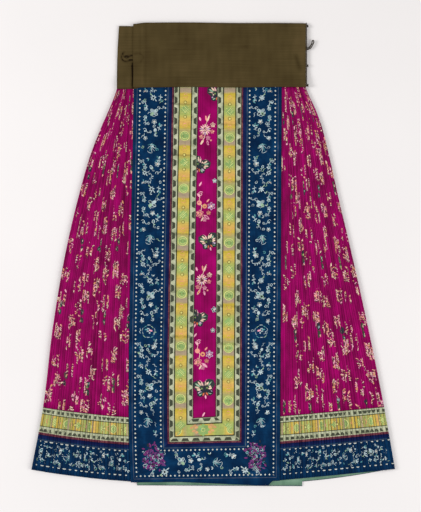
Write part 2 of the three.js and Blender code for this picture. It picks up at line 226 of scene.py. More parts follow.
class Finish:
    """A material under construction, with short words for its nodes and links."""

    def __init__(self, name, roughness, sheen=0.0, sheen_tint=(255, 255, 255), gloss=0.5):
        self.material = bpy.data.materials.new(name)
        self.material.use_nodes = True
        self.nodes = self.material.node_tree.nodes
        self.links = self.material.node_tree.links
        self.shader = self.nodes["Principled BSDF"]
        self.shader.inputs["Roughness"].default_value = roughness
        self.shader.inputs["Sheen Weight"].default_value = sheen
        self.shader.inputs["Sheen Tint"].default_value = linear(*sheen_tint)
        self.shader.inputs["Specular IOR Level"].default_value = gloss

    def node(self, kind, **inputs):
        made = self.nodes.new(kind)
        for name, value in inputs.items():
            self.feed(made.inputs[name.replace("_", " ")], value)
        return made

    def feed(self, socket, value):
        if isinstance(value, bpy.types.NodeSocket):
            self.links.new(value, socket)
        else:
            socket.default_value = value

    def cloth_place(self, across, along):
        """The point on the flat cloth, with each direction stretched."""
        uv = self.nodes.new("ShaderNodeUVMap")
        uv.uv_map = "cloth"
        return self.node("ShaderNodeMapping", Vector=uv.outputs[0], Scale=(across, along, 1)).outputs[0]

    def noise(self, place, scale, detail=2.0):
        return self.node("ShaderNodeTexNoise", Vector=place, Scale=scale, Detail=detail).outputs["Fac"]

    def attribute(self, name, output="Fac"):
        found = self.nodes.new("ShaderNodeAttribute")
        found.attribute_name = name
        return found.outputs[output]

    def sum(self, *terms):
        """Adds numbers, each given with its weight."""
        total = None
        for value, weight in terms:
            scaled = self.nodes.new("ShaderNodeMath")
            scaled.operation = "MULTIPLY_ADD"
            self.feed(scaled.inputs[0], value)
            scaled.inputs[1].default_value = weight
            self.feed(scaled.inputs[2], 0.0 if total is None else total)
            total = scaled.outputs[0]
        return total

    def shades(self, share, *stops):
        """A colour ramp from stops of (place, (red, green, blue))."""
        ramp = self.node("ShaderNodeValToRGB", Fac=share)
        band = ramp.color_ramp
        while len(band.elements) < len(stops):
            band.elements.new(0.5)
        for element, (place, tint) in zip(band.elements, stops):
            element.position = place
            element.color = linear(*tint)
        return ramp.outputs[0]

    def mix(self, share, a, b, blend="MIX"):
        made = self.nodes.new("ShaderNodeMix")
        made.data_type = "RGBA"
        made.blend_type = blend
        for socket, value in zip((made.inputs[0], made.inputs[6], made.inputs[7]), (share, a, b)):
            self.feed(socket, value)
        return made.outputs[2]

    def weave(self, threads, depth, lean=0.6):
        """Warp and weft as two sets of fine ridges. threads are counted to a centimetre."""
        place = self.cloth_place(1, 1)
        waves = []
        for direction in ("X", "Y"):
            scale = threads * 100 / 6.28 * 0.5
            wave = self.node("ShaderNodeTexWave", Vector=place, Scale=scale, Distortion=0.6)
            wave.bands_direction = direction
            waves.append(wave.outputs["Fac"])
        return self.bump(self.sum((waves[0], lean), (waves[1], 1 - lean)), depth)

    def bump(self, height, depth, before=None):
        made = self.node("ShaderNodeBump", Height=height, Distance=depth * MM, Strength=1.0)
        if before is not None:
            self.links.new(before, made.inputs["Normal"])
        return made.outputs[0]

    def finish(self, colour, normal=None):
        self.feed(self.shader.inputs["Base Color"], colour)
        if normal is not None:
            self.links.new(normal, self.shader.inputs["Normal"])
        return self.material

# %% [markdown]
# ## Cloths of one colour
# Silk, ribbon, tape and cotton are each dyed in one colour and differ in thread and gloss. So one
# function makes them all from three shades, the count of threads, and two sets of streaks.

# %% Cloths of one colour
def plain_weave(
    name, dark, middle, light, roughness, sheen, threads, depth, streak, drift, gloss=0.4, deep=None
):
    """Cloth of one colour: it drifts over the piece, and threads streak it across and along."""
    f = Finish(name, roughness, sheen, middle, gloss)
    share = f.sum(
        (f.noise(f.cloth_place(1, 1), drift, 3.0), 0.9),
        (f.noise(f.cloth_place(*streak[0]), 1.0, 2.0), streak[2]),
        (f.noise(f.cloth_place(*streak[1]), 1.0, 2.0), streak[3]),
        (f.attribute("tone"), 0.5),
        (1.0, 0.05 - (streak[2] + streak[3]) / 2),
    )
    stops = [(0.2, dark), (0.5, middle), (0.8, light)]
    if deep is not None:
        stops.insert(0, (0.0, deep))
    colour = f.shades(share, *stops)
    return f.finish(colour, f.weave(threads, depth))


# How finely the streaks run across and along, and how strongly each set shows
RIBBON_STREAKS = (700, 40), (40, 700), 0.3, 0.3
TAPE_STREAKS = (300, 90), (90, 300), 0.3, 0.3
CORD_STREAKS = (300, 300), (300, 300), 0.3, 0.3

silk = plain_weave(
    "magenta figured silk", (106, 0, 60), (142, 0, 85), (170, 0, 106), 0.55, 0.03, 22, 0.05,
    ((430, 3), (60, 900), 0.6, 0.1), 26, 0.06,
)
navy = plain_weave(
    "navy woven ribbon", (1, 26, 56), (2, 40, 74), (8, 56, 94), 0.6, 0.01, 20, 0.05,
    RIBBON_STREAKS, 30, 0.05,
)
violet = plain_weave(
    "violet ribbon edge", (8, 18, 54), (13, 25, 70), (24, 38, 88), 0.6, 0.01, 20, 0.05,
    ((700, 40), (40, 700), 0.2, 0.2), 30, 0.05,
)
tape = plain_weave(
    "grey-green tape", (136, 140, 112), (178, 182, 150), (206, 208, 180), 0.65, 0.1, 16, 0.06,
    ((300, 90), (90, 300), 0.35, 0.35), 60, 0.15,
)
dark_line = plain_weave(
    "dark tape edge", (28, 32, 18), (46, 50, 30), (74, 76, 46), 0.65, 0.1, 16, 0.06,
    TAPE_STREAKS, 60, 0.15,
)
rose = plain_weave(
    "rose piping silk", (66, 24, 44), (102, 46, 62), (136, 84, 84), 0.6, 0.03, 18, 0.06,
    CORD_STREAKS, 120, 0.08,
)
cotton = plain_weave(
    "olive-brown cotton", (63, 51, 28), (74, 62, 36), (88, 73, 45), 0.9, 0.05, 14, 0.1,
    ((9, 820), (300, 7), 0.6, 0.05), 5, 0.05, (26, 18, 8),
)
lining_cloth = plain_weave(
    "green cotton lining", (90, 124, 103), (114, 148, 125), (136, 168, 145), 0.85, 0.1, 16, 0.08,
    ((12, 500), (300, 12), 0.4, 0.3), 20, 0.1,
)
print("Finishes:", [material.name for material in bpy.data.materials])

# %% [markdown]
# ## Where things lie
# The frame of ribbons on the front follows the panel's edge, so a place on it is given by how far it is
# set in from that edge and how far down it is. The left edge bows out a little, as it does on the real
# skirt, where the pleats beside it push it over.

# %% Places on a panel
SIDES = {"left": -1, "right": 1}


def panel_edge(panel, side, down):
    edge = panel[side]
    reach = (np.asarray(down, float) - SEAM_DOWN) / (edge["lowest"] - SEAM_DOWN)
    return lerp(edge["waist"], edge["hem"], reach) - edge["bow"] * np.maximum(0, reach) * (1 - reach**6)


def beside(panel, side, inset, down):
    """A place on the ribbons down one side."""
    return panel_edge(panel, side, down) - SIDES[side] * inset, y_at(down)


def hem_length(panel):
    return panel["right"]["hem"] - panel["left"]["hem"]


def along_hem(panel, inset, across):
    """A place on the ribbons along the hem, by its share of the way from the left corner to the right."""
    (x0, y0), (x1, y1) = [beside(panel, side, inset, panel[side]["lowest"] - inset) for side in SIDES]
    x, y = lerp(x0, x1, across), lerp(y0, y1, across)
    if panel is PANEL:
        y = y - loose_edge(x) * np.clip(1 - inset / LOOSE_EDGE["wide"], 0, 1)
    return x, y


# The turned edge of the front hem, which has come loose: where it starts and is caught again across the
# skirt, how far it hangs, and how wide the turned edge is
LOOSE_EDGE = {"start": -72, "caught": 116, "drop": 10.4, "wide": 4.5}


def loose_edge(x):
    """How far the loose edge hangs, more and more until it is caught again."""
    start, caught = LOOSE_EDGE["start"], LOOSE_EDGE["caught"]
    hang = LOOSE_EDGE["drop"] * np.clip((x - start) / (caught - start), 0, 1)
    return hang * (1 - ease(x, caught, caught + 5))


def panel_lift(x, y):
    """The soft unevenness of the front panel, which everything on it follows."""
    fade = ease(y_at(SEAM_DOWN) - y, 10, 80)
    return fade * (0.22 * np.sin(x / 47 + y / 130) + 0.2 * np.sin(y / 83 - x / 190) + 0.3)


def pucker(x, y):
    """The finer waves of cloth that has been folded away and worn."""
    waves = 0.22 * ripple(x * 0.45, y, 34, 11) + 0.12 * ripple(x, y, 15, 12)
    return waves * ease(y_at(SEAM_DOWN) - y, 0, 30)


def front_height(x, y):
    return FRONT["height"] + FRONT["thick"] + panel_lift(x, y) + 0.4 * pucker(x, y)


print("Front hem, in mm:", round(hem_length(PANEL), 1), "back:", round(hem_length(BACK_PANEL), 1))

# %% [markdown]
# ## Tucks in the trim
# The gold trim was pressed into sharp tucks while the skirt lay folded away. A simulation would put them
# where it liked, so each tuck has its place and depth in a list.

# %% Tucks in the trim
# Where the trim was pressed into sharp tucks: the middle of its strip, how far down, and how deep
LEFT_TRIM, RIGHT_TRIM = -66, 31
TUCKS = [
    (LEFT_TRIM, 170, 0.7), (LEFT_TRIM, 276, 0.9), (LEFT_TRIM, 440, 0.8), (LEFT_TRIM, 476, 1.0),
    (LEFT_TRIM, 560, 0.4), (LEFT_TRIM, 653, 1.0), (RIGHT_TRIM, 212, 0.5), (RIGHT_TRIM, 330, 0.6),
    (RIGHT_TRIM, 590, 0.8), (RIGHT_TRIM, 668, 0.7), (RIGHT_TRIM, 742, 0.4),
]


def tuck_depth(x, y):
    depth = 0
    for middle, down, deep in TUCKS:
        slant = (x - middle) * 0.03
        near = 1 - ease(np.abs(x - middle), 13, 25)
        depth = depth + deep * near * np.exp(-(((LENGTH / 2 - y - down - slant) / 1.5) ** 2))
    return depth


def ribbon_height(x, y):
    return RIBBON["height"] + RIBBON["thick"] + panel_lift(x, y) + pucker(x, y) - 0.55 * tuck_depth(x, y)


print("Tucks:", len(TUCKS))

# %% [markdown]
# ## The front panel
# The panel is one tall piece of figured silk, and most of it is hidden under its ribbons. The grid is
# fine enough for soft waves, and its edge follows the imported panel's.

# %% Front panel
def shares(steps):
    return np.linspace(0, 1, steps + 1)


def lay_panel(name, panel, top, height, under, materials, inset=0, columns=40, rows=120):
    down_left = lerp(top, panel["left"]["lowest"] - inset, shares(rows))
    down_right = lerp(top, panel["right"]["lowest"] - inset, shares(rows))
    left = panel_edge(panel, "left", down_left)[:, None] + inset
    right = panel_edge(panel, "right", down_right)[:, None] - inset
    across = shares(columns)[None, :]
    x = lerp(left, right, across)
    y = y_at(lerp(down_left[:, None], down_right[:, None], across))
    cloth = np.stack([x, y], -1)
    tone = 0.25 * ripple(x, y * 0.2, 30, 21)
    return cloth_wall(name, stack(x, y, height(x, y)), stack(x, y, under(x, y)), materials, cloth, tone)


TOP = SEAM_DOWN - TUCK
panel_cloth = lay_panel(
    "cloth_front_panel", PANEL, TOP, front_height, lambda x, y: FRONT["height"], [silk]
)
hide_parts("front_panel")
print("Front panel, in mm:", [round(1000 * d) for d in panel_cloth.dimensions])

# %% [markdown]
# ## Ribbons
# Three woven ribbons frame the panel from the outside in: a broad navy border, a thin rose piping, and a
# trim of gold satin between two grey-green tapes. A ribbon is a long wall whose columns fall on its own
# stripes, so that each stripe can have its own material. The strips are mitred where they meet.

# %% Ribbon strips
def columns_for(stripes, step):
    """Columns at every stripe's edges with even steps between, and each gap's material."""
    edges = [0.0]
    slots = []
    for width, slot in stripes:
        count = max(1, round(width / step))
        edges += [edges[-1] + width * (i + 1) / count for i in range(count)]
        slots += [slot] * count
    return np.array(edges), slots


NAVY, VIOLET, GREY_LINE = 0, 1, 2
border_stripes = [(6.6, NAVY), (1.1, GREY_LINE), (63.2, NAVY), (1.2, GREY_LINE), (2.4, NAVY), (5.5, VIOLET)]
TAPE, DARK, GOLD = 0, 1, 2
trim_stripes = [
    (0.9, DARK), (9.7, TAPE), (2.4, DARK), (23.2, GOLD), (2.4, DARK), (10.8, TAPE), (1.2, DARK),
]


EDGE_ROLL = 0.35


def ribbon(name, place, along, start, stripes, height, under, materials, tone, step=4):
    """A wall over the places of an inset and a distance along, from the inset start."""
    insets, slots = columns_for(stripes, step)
    inset = (start + insets)[None, :]
    x, y, run = place(inset, along[:, None])
    cloth = np.stack(np.broadcast_arrays(inset, run), -1)
    shade = tone(inset, run, x, y)
    rim = np.isin(np.arange(len(insets)), (0, len(insets) - 1))
    over = stack(x, y, height(x, y) - EDGE_ROLL * rim)
    lower = stack(x, y, under(x, y))
    return cloth_wall(name, over, lower, materials, cloth, shade, slots)


def side_place(panel, side, top):
    def place(inset, share):
        down = lerp(top, panel[side]["lowest"] - inset, share)
        x, y = beside(panel, side, inset, down)
        return x, y, down
    return place


def hem_place(panel):
    length = hem_length(panel)

    def place(inset, share):
        x, y = along_hem(panel, inset, share)
        return x, y, inset + share * (length - 2 * inset)
    return place


# About how long a side strip of the trim is, and how far from a tuck its closer rows lie
TRIM_RUN = 730
TUCK_ROWS = (-5, -3, -2, -1, 0, 1, 2, 3, 5)


def rows_with_tucks(side, rows):
    """Even rows down a side strip, with closer ones where the trim is tucked."""
    ats = list(shares(rows))
    middle = {"left": LEFT_TRIM, "right": RIGHT_TRIM}[side]
    for strip, down, _ in TUCKS:
        if strip == middle:
            ats += [(down + step - TOP) / TRIM_RUN for step in TUCK_ROWS]
    return np.array(sorted(ats))


HEM_STEPS = 64


def frame_strips(prefix, panel, top, start, stripes, height, under, materials, tone, rows=170, tucked=False):
    made = {}
    for side in ("left", "right"):
        place = side_place(panel, side, top)
        along = rows_with_tucks(side, rows) if tucked else shares(rows)
        made[side] = ribbon(f"{prefix}_{side}", place, along, start, stripes, height, under, materials, tone)
    place, along = hem_place(panel), shares(HEM_STEPS)
    made["bottom"] = ribbon(f"{prefix}_bottom", place, along, start, stripes, height, under, materials, tone)
    return made

# %% [markdown]
# ## Gold satin
# The trim's wefts change from green to orange and grey along it, in a repeat that the woven knots mark.
# The shade is read from the place on the cloth, so it follows the ribbon round its corners. Across the
# pleats most of the ribbon is folded away, so there the repeat looks shorter.

# %% Gold satin and grey thread
def ribbon_under(x, y):
    return RIBBON["height"] + panel_lift(x, y)


def worn(inset, run):
    return 0.3 * ripple(inset, run * 0.5, 24, 31) + 0.15 * ripple(inset, run, 7, 32)


# Random tone of worn ribbon, with painted shade along each tuck
def worn_and_tuck_shade(inset, run, x, y):
    return worn(inset, run) - 3 * tuck_depth(x, y)


grey_line = plain_weave(
    "grey thread line", (30, 46, 76), (62, 74, 94), (96, 100, 110), 0.6, 0.1, 16, 0.05,
    TAPE_STREAKS, 60, 0.15,
)
GOLD_REPEAT = 109.3
GOLD_SHADES = [
    (0.0, (162, 178, 100)), (0.1, (172, 180, 94)), (0.17, (214, 184, 88)), (0.25, (220, 172, 92)),
    (0.33, (206, 180, 62)), (0.4, (178, 166, 108)), (0.46, (166, 176, 98)), (0.54, (172, 180, 100)),
    (0.6, (168, 148, 124)), (0.66, (176, 154, 124)), (0.7, (196, 172, 52)), (0.8, (216, 186, 80)),
    (0.88, (196, 172, 84)), (0.94, (172, 180, 92)), (1.0, (162, 178, 100)),
]


def satin_band(name, axis, first, folded=0.14, light=0.62, repeat=GOLD_REPEAT):
    """Gold satin whose wefts change colour along the band, in a repeat that starts at a knot."""
    f = Finish(name, 0.45, 0.1, (230, 212, 130), 0.25)
    place = f.node("ShaderNodeSeparateXYZ", Vector=f.cloth_place(1, 1)).outputs[axis]
    wobble = f.noise(f.cloth_place(1, 1), 90, 2.0)
    share = f.sum((place, 1 / (repeat * MM)), (wobble, 0.05), (1.0, -first / repeat - 0.025))
    wrap = f.nodes.new("ShaderNodeMath")
    wrap.operation = "FRACT"
    f.feed(wrap.inputs[0], share)
    hue = f.shades(wrap.outputs[0], *GOLD_SHADES)
    shade = f.sum(
        (f.noise(f.cloth_place(420, 50), 1.0), 0.35), (f.noise(f.cloth_place(50, 420), 1.0), 0.35),
        (f.noise(f.cloth_place(230, 230), 1.0), 0.35), (f.attribute("tone"), folded), (1.0, light - 0.22),
    )
    return f.finish(f.mix(1.0, hue, shade, "MULTIPLY"), f.weave(22, 0.04))


gold = satin_band("gold satin", 1, 72)
# Across the pleats the tone, which holds the painted shade of each fold, weighs far more in the colour
gold_across = satin_band("gold satin across pleats", 0, 20, folded=0.9, light=0.6, repeat=27)
print("Gold shades:", len(GOLD_SHADES), "in a repeat of", GOLD_REPEAT, "mm")

# %% [markdown]
# ## The frame on the front
# The three ribbons are laid one inside the other, a hair apart, so that no two share a face.

# %% Frame on the front
borders = frame_strips(
    "cloth_border", PANEL, TOP, 0, border_stripes,
    ribbon_height, ribbon_under, [navy, violet, grey_line], worn_and_tuck_shade,
)
pipings = frame_strips(
    "cloth_piping", PANEL, TOP, BORDER + PIECE_GAP, [(PIPING, 0)],
    lambda x, y: ribbon_height(x, y) + 0.25, ribbon_under, [rose], worn_and_tuck_shade,
)
trims = frame_strips(
    "cloth_trim", PANEL, TOP, BORDER + PIPING + 2 * PIECE_GAP, trim_stripes,
    ribbon_height, ribbon_under, [tape, dark_line, gold], worn_and_tuck_shade, 190, True,
)
for kind, strips, slot in (
    ("border", borders, "navy_ribbon"), ("piping", pipings, "rose_piping"), ("trim", trims, "gold_ribbon")
):
    for where, strip in strips.items():
        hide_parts(f"{kind}_{where}")
print("Ribbon strips:", len(borders) + len(pipings) + len(trims))

# %% [markdown]
# ## Knife pleats
# Each pleat is folded over its neighbour, so only its outer part shows: nearly 6 mm of 12 at the hem,
# and 1 mm at the waist, where all of them are gathered into the band. A column of points
# follows each fold. It rises from the trough to the crest, then turns back under it, which gives the
# fine dark line at every fold.

# %% Pleated sides
PLEAT_FORM = [
    {"along": 0, "thick": 1.7, "step": 0.5},
    {"along": 0.1, "thick": 1.5, "step": 0.9},
    {"along": 0.4, "thick": 1.3, "step": 1.3},
    {"along": 1, "thick": 1.1, "step": 1.6},
]
SWELLS = {
    "left": [(0.32, 0.14, 0.8), (0.74, 0.18, 1.1)],
    "right": [(0.24, 0.12, 0.6), (0.55, 0.14, 0.9), (0.86, 0.1, 1.1)],
}
# One fold from its trough to its crest, and on under the crest where the cloth turns back
CREST, BEND, TURNED_BACK = 0.97, 1.03, 1.02
FOLD_SHAPE = [
    {"share": 0.0, "rise": 0.16},
    {"share": 0.1, "rise": 0.02},
    {"share": 0.45, "rise": 0.42},
    {"share": 0.82, "rise": 0.86},
    {"share": CREST, "rise": 1.0},
    {"share": BEND, "rise": 0.84},
    {"share": TURNED_BACK, "rise": 0.45},
]


class PleatedSide:
    """One pleated side: where each fold lies, and how high. The back's folds face down."""

    def __init__(self, side, panel, hem, top, seed, facing=1, reach=1.0):
        self.side = side
        self.panel = panel
        self.pleats = PLEATED[side]["pleats"]
        self.hem = hem
        self.top = top
        self.facing = facing
        self.reach = reach
        self.length = hem[0] - top
        draw = np.random.default_rng(seed)
        self.shift = draw.uniform(-0.2, 0.2, self.pleats + 1)
        self.sway = draw.uniform(0, math.tau, (self.pleats + 1, 2))
        self.depth = draw.uniform(0.6, 1.25, self.pleats)
        self.tone = draw.uniform(-0.2, 0.2, self.pleats)
        reach = np.linspace(0, 1.02, 256)
        self.pitch_table = reach, self.pitch(reach)

    def edges(self, along):
        inner = lerp(self.top, self.hem[0], along)
        outer = lerp(self.top, self.hem[2], along)
        start = panel_edge(self.panel, self.side, inner) + SIDES[self.side] * PIECE_GAP
        return inner, outer, start, lerp(start, flowing(SIDE_EDGE, "down", self.side, outer), self.reach)

    def pitch(self, along):
        _, _, start, end = self.edges(along)
        return np.abs(end - start) / self.pleats

    def place(self, along, fold, share):
        """The point on a fold's cloth, and its height."""
        inner, outer, start, end = self.edges(along)
        bounds = []
        for edge in (fold, fold + 1):
            first, second = self.sway[edge, 0], self.sway[edge, 1]
            wander = 0.1 * np.sin(along * 7 + first) + 0.07 * np.sin(along * 17 + second)
            free = (edge > 0) & (edge < self.pleats)
            bounds.append(edge + free * (self.shift[edge] + wander))
        across = np.minimum(1, lerp(bounds[0], bounds[1], share) / self.pleats)
        sag = (self.hem[1] - (self.hem[0] + self.hem[2]) / 2) * 4 * across * (1 - across) * along**2
        x = lerp(start, end, across)
        y = y_at(lerp(inner, outer, across) + sag)
        return x, y, self.height(along, fold, share, across)

    def height(self, along, fold, share, across):
        thick = read(PLEAT_FORM, "along", "thick", along)
        step = read(PLEAT_FORM, "along", "step", along) * self.depth[fold]
        step = step * lerp(0.35, 1, ease(across, 0, 0.08))
        keys = [row["share"] for row in FOLD_SHAPE[:5]]
        rise = np.interp(share, keys, [row["rise"] for row in FOLD_SHAPE[:5]])
        rise = np.where(share > CREST, np.interp(share, [CREST, BEND], [1.0, 0.84]), rise)
        if self.facing < 0:
            return BACK["thick"] - 0.3 - 0.6 * rise
        swell = 0
        for middle, spread, lift in SWELLS[self.side]:
            swell = swell + lift * np.exp(-(((across - middle) / spread) ** 2))
        swell = swell * ease(along, 0.05, 0.35)
        waves = 0.3 * np.sin(along * 9 + across * 5) * np.sin(across * 21 + along * 3) * ease(along, 0.1, 0.5)
        return FRONT["height"] + thick + rise * step + swell + waves + 0.2

# %% [markdown]
# ## A wall of folds
# The silk, the gold trim and the navy hem band were sewn together flat and then pleated as one, so all
# three use the same folds. Each trough, and the cloth turned back under each crest, has painted shade.

# %% Walls of folds
def pleated_zone(name, side, start, end, rows, materials, row_slots=None, tone_scale=1.0, shadow=0.5):
    """A wall of all the folds between two shares of the way to the hem."""
    along = lerp(start, end, shares(rows) if row_slots is None else row_slots[0])
    fold = np.repeat(np.arange(side.pleats), len(FOLD_SHAPE))
    share = np.tile([row["share"] for row in FOLD_SHAPE], side.pleats)
    grid_along, grid_fold = np.broadcast_arrays(along[:, None], fold[None, :])
    grid_share = np.broadcast_to(share[None, :], grid_along.shape)
    x, y, z = side.place(grid_along, grid_fold, grid_share)
    turned = share == TURNED_BACK
    step = read(PLEAT_FORM, "along", "step", grid_along) * side.depth[grid_fold]
    z = z - side.facing * turned[None, :] * 0.42 * np.minimum(step, 1 if side.facing > 0 else 0.5)
    seen = side.pitch(grid_along)
    cloth_x = (grid_fold + 1) * CLOTH_PER_PLEAT - (1 - grid_share) * seen
    cloth = np.stack([cloth_x, -grid_along * side.length], -1)
    tone = side.tone[grid_fold] + 0.25 * ripple(grid_fold * 11.0, grid_along * 300, 60, 51)
    # Painted shade: the trough of each fold is darkened, more on some folds than others, and the turned-back
    # cloth under each crest more still
    uneven = np.random.default_rng(7).uniform(0.35, 1.65, side.pleats)[grid_fold]
    tone = tone * tone_scale - shadow * uneven * np.clip(1 - grid_share / 0.35, 0, 1)
    tone = tone - 0.4 * turned[None, :]
    slots = None if row_slots is None else row_slots[1][:, None]
    over, under = stack(x, y, z), stack(x, y, FRONT["height"])
    if side.facing < 0:
        over, under = stack(x, y, BACK["thick"]), over
    return cloth_wall(name, over, under, materials, cloth, tone, slots)


HEM_ZONES = [(4.9, 3), (12.0, TAPE), (1.5, DARK), (23.6, GOLD), (1.5, DARK), (11.6, TAPE), (0.7, DARK)]
HEM_BAND_ZONES = [(64.9, NAVY), (1.3, GREY_LINE), (2.4, NAVY), (7.0, VIOLET)]


def zone_rows(stripes, step):
    """Rows for stripes given from the hem up, as shares from the top down, and each gap's material."""
    edges, slots = columns_for(stripes, step)
    return 1 - (edges / edges[-1])[::-1], np.array(slots[::-1])


def pleated_walls(prefix, side, form, ground_rows):
    """The silk, the trim and the hem band of one pleated side, each a wall of its own."""
    gap = PIECE_GAP / form.length
    rows = zone_rows(HEM_ZONES, 6), zone_rows(HEM_BAND_ZONES, 8)
    walls = {
        "pleats": pleated_zone(f"{prefix}pleats_{side}", form, 0, TRIM_START, ground_rows, [silk]),
        "pleat_trim": pleated_zone(
            f"{prefix}pleat_trim_{side}", form, TRIM_START + gap, HEM_BAND_START, 0,
            [tape, dark_line, gold_across, rose], rows[0], 0.7, 0.8,
        ),
        "hem_band": pleated_zone(
            f"{prefix}hem_band_{side}", form, HEM_BAND_START + gap, 1, 0, [navy, violet, grey_line], rows[1],
            0.6, 0.6,
        ),
    }
    node = prefix.removeprefix("cloth_")
    for (kind, wall), slot in zip(walls.items(), ("magenta_silk", "gold_ribbon", "navy_ribbon")):
        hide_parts(f"{node}{kind}_{side}")
    return walls


pleat_sides, pleat_walls = {}, {}
for side, seed in (("left", 41), ("right", 42)):
    form = PleatedSide(side, PANEL, PLEATED[side]["hem"], TOP, seed)
    pleat_sides[side] = form
    pleat_walls[side] = pleated_walls("cloth_", side, form, 52)
    print(side, "pleats:", form.pleats, "showing", round(float(form.pitch(1.0)), 1), "mm each at the hem")

# %% [markdown]
# ## The waistband
# The band is a folded strip of hand-loomed cotton. The front layer hides another, whose end sticks out
# at the left as a tab, and a third lies behind. Over the pleats' gathered tops the layers ride up, so
# their height is read from a short table.

# %% Waistband layers
BAND_FORM = [
    {"up": 0, "under": 5.9, "front": 7.7},
    {"up": 9, "under": 5.9, "front": 7.7},
    {"up": 17, "under": 4.8, "front": 6.8},
    {"up": 26, "under": 3.2, "front": 5.2},
    {"up": 38, "under": 2.7, "front": 4.6},
    {"up": 140, "under": 2.7, "front": 4.5},
]


def spot(x, down, at_x, at_down, wide, tall):
    """A soft round hill of height 1."""
    return np.exp(-(((x - at_x) / wide) ** 2) - ((down - at_down) / tall) ** 2)


def crease(x, down, start, end, width):
    """A soft straight ridge of height 1 between two points."""
    (x0, d0), (x1, d1) = start, end
    length = math.hypot(x1 - x0, d1 - d0)
    along = ((x - x0) * (x1 - x0) + (down - d0) * (d1 - d0)) / length
    aside = ((x - x0) * (d1 - d0) - (down - d0) * (x1 - x0)) / length
    ends = ease(along, -6, 8) * (1 - ease(along, length - 8, length + 6))
    return ends * np.exp(-((aside / width) ** 2))


def band_piece(name, left, right, bottom, top, height, thick, tone, columns=110, rows=60):
    up = shares(rows)[:, None]
    across = shares(columns)[None, :]
    x = lerp(left(up), right(up), across)
    down = lerp(bottom(x), top(x), up)
    y = y_at(down)
    z = height(x, down)
    edge = np.minimum(np.minimum(across, 1 - across) * 360, np.minimum(up, 1 - up) * 135)
    roll = 0.55 * (1 - np.clip(edge / 1.4, 0, 1)) ** 2
    cloth = np.stack([x, y], -1)
    over = stack(x, y, z + thick - roll)
    return cloth_wall(name, over, stack(x, y, z), [cotton], cloth, tone(x, down, edge))


def creased(x, down, lines):
    return sum(weight * crease(x, down, start, end, width) for start, end, width, weight in lines)


def curve_line(x, down, points, width=1.3):
    """A soft ridge of height 1 along a line through some points."""
    near = 0
    for start, end in zip(points, points[1:]):
        near = np.maximum(near, crease(x, down, start, end, width))
    return near

# %% [markdown]
# ## Marks on the band
# A toggle and its loop press through the cotton at the left, fold lines run down beside it, and a stain
# has dried in. Each is a soft ridge or spot that lifts the cloth or changes its tone.

# %% Front layer and its marks
# Lines seen on the band, as (x, distance down): a loop and its toggle, which press through from below
TOGGLE = [(-186, 62), (-190.5, 68), (-191, 74), (-187, 80), (-181, 81.5)]
TOGGLE_SLOT = [(-185, 70.6), (-178, 71)]
TOGGLE_CORDS = [(-178, 79.5), (-166, 77)], [(-175, 69.5), (-166, 68.5)]
IMPRINT = [(-165, 66), (-156, 64.5), (-149, 66.5), (-146, 71), (-147, 77), (-151, 82)]
# Straight creases, and the painted light and shade along fold lines, as (start, end, width, strength)
RIDGES = [
    ((176, 84), (186, 108), 1.8, 0.5), ((120, 118), (182, 112), 2.4, 0.35),
    ((-120, 121), (-40, 124), 3, 0.4), ((20, 126), (110, 121), 3, 0.4),
]
FOLD_LIGHT_AND_SHADE = [
    ((-148, 4), (-148, 132), 1.6, 0.3), ((-140, 4), (-141, 132), 2.2, -0.3),
    ((170, 66), (182, 102), 4.5, -0.65),
]


def cotton_tone(x, down, edge):
    worn_edge = -0.35 * (1 - np.clip(edge / 2.5, 0, 1))
    return worn_edge + 0.2 * ripple(x, down, 60, 61) + 0.15 * ripple(x * 4, down, 40, 62)


def front_band_height(x, down):
    z = read(BAND_FORM, "up", "front", SEAM_DOWN - down)
    z = z + 0.25 * ripple(x, down, 55, 63) * ease(down, 0, 20)
    z = z + 1.6 * (1 - ease(x, BAND_TOP["left"], BAND_TOP["left"] + 9)) * ease(down, 70, 92)
    z = z + 0.9 * spot(x, down, -156, 73, 8, 8) + 0.35 * curve_line(x, down, IMPRINT)
    return z + creased(x, down, RIDGES)


def front_band_tone(x, down, edge):
    tone = cotton_tone(x, down, edge) - 0.45 * spot(x, down, 66, 51, 12, 6)
    # Painted light and shade along the fold lines
    tone = tone + creased(x, down, FOLD_LIGHT_AND_SHADE) - 1.1 * curve_line(x, down, IMPRINT, 2)
    return tone + 0.25 * ease(x, 150, 190)


def under_band_tone(x, down, edge):
    tone = cotton_tone(x, down, edge) - 2.4 * curve_line(x, down, TOGGLE, 2)
    tone = tone - 2.6 * curve_line(x, down, TOGGLE_SLOT, 1.8)
    for line in TOGGLE_CORDS:
        tone = tone - 2.2 * curve_line(x, down, line, 1.6)
    # Painted shadow: a dark line on the tab beside the lifted left edge of the front layer
    return tone - 2.2 * crease(x, down, (-167.4, 84), (-167.4, 136), 2) * (x < -164)


def covered(x):
    return ease(x, BAND_TOP["left"], BAND_TOP["left"] + BAND_SET_IN["settle"])


def band_slope(x):
    """The band's top edge sags a little to the right."""
    return 1.6 * ease(x, -140, 190) + 0.3 * np.sin(x / 29)


front_band = band_piece(
    "cloth_waistband_front",
    lambda up: BAND_TOP["left"] + 0.8 * np.sin(up * 7), lambda up: BAND_TOP["right"],
    lambda x: SEAM_DOWN + 0.5 * np.sin(x / 31),
    lambda x: BAND_TOP["dip"] * (1 - covered(x)) + band_slope(x),
    front_band_height, BAND_THICK, front_band_tone, 150, 60,
)

# %% [markdown]
# The second layer is seen only as the tab at the left, and the third not at all from above. Both are
# still whole strips, because the real band is one long strip that goes round.

# %% Lower layers of the band
def under_band_height(x, down):
    z = read(BAND_FORM, "up", "under", SEAM_DOWN - down)
    z = z + 0.8 * spot(x, down, -181, 72, 9, 9) - 0.5 * curve_line(x, down, TOGGLE, 1.5)
    z = z + 0.5 * crease(x, down, (-186, 88), (-170, 79), 2.5)
    return z + 0.3 * ripple(x, down, 30, 64)


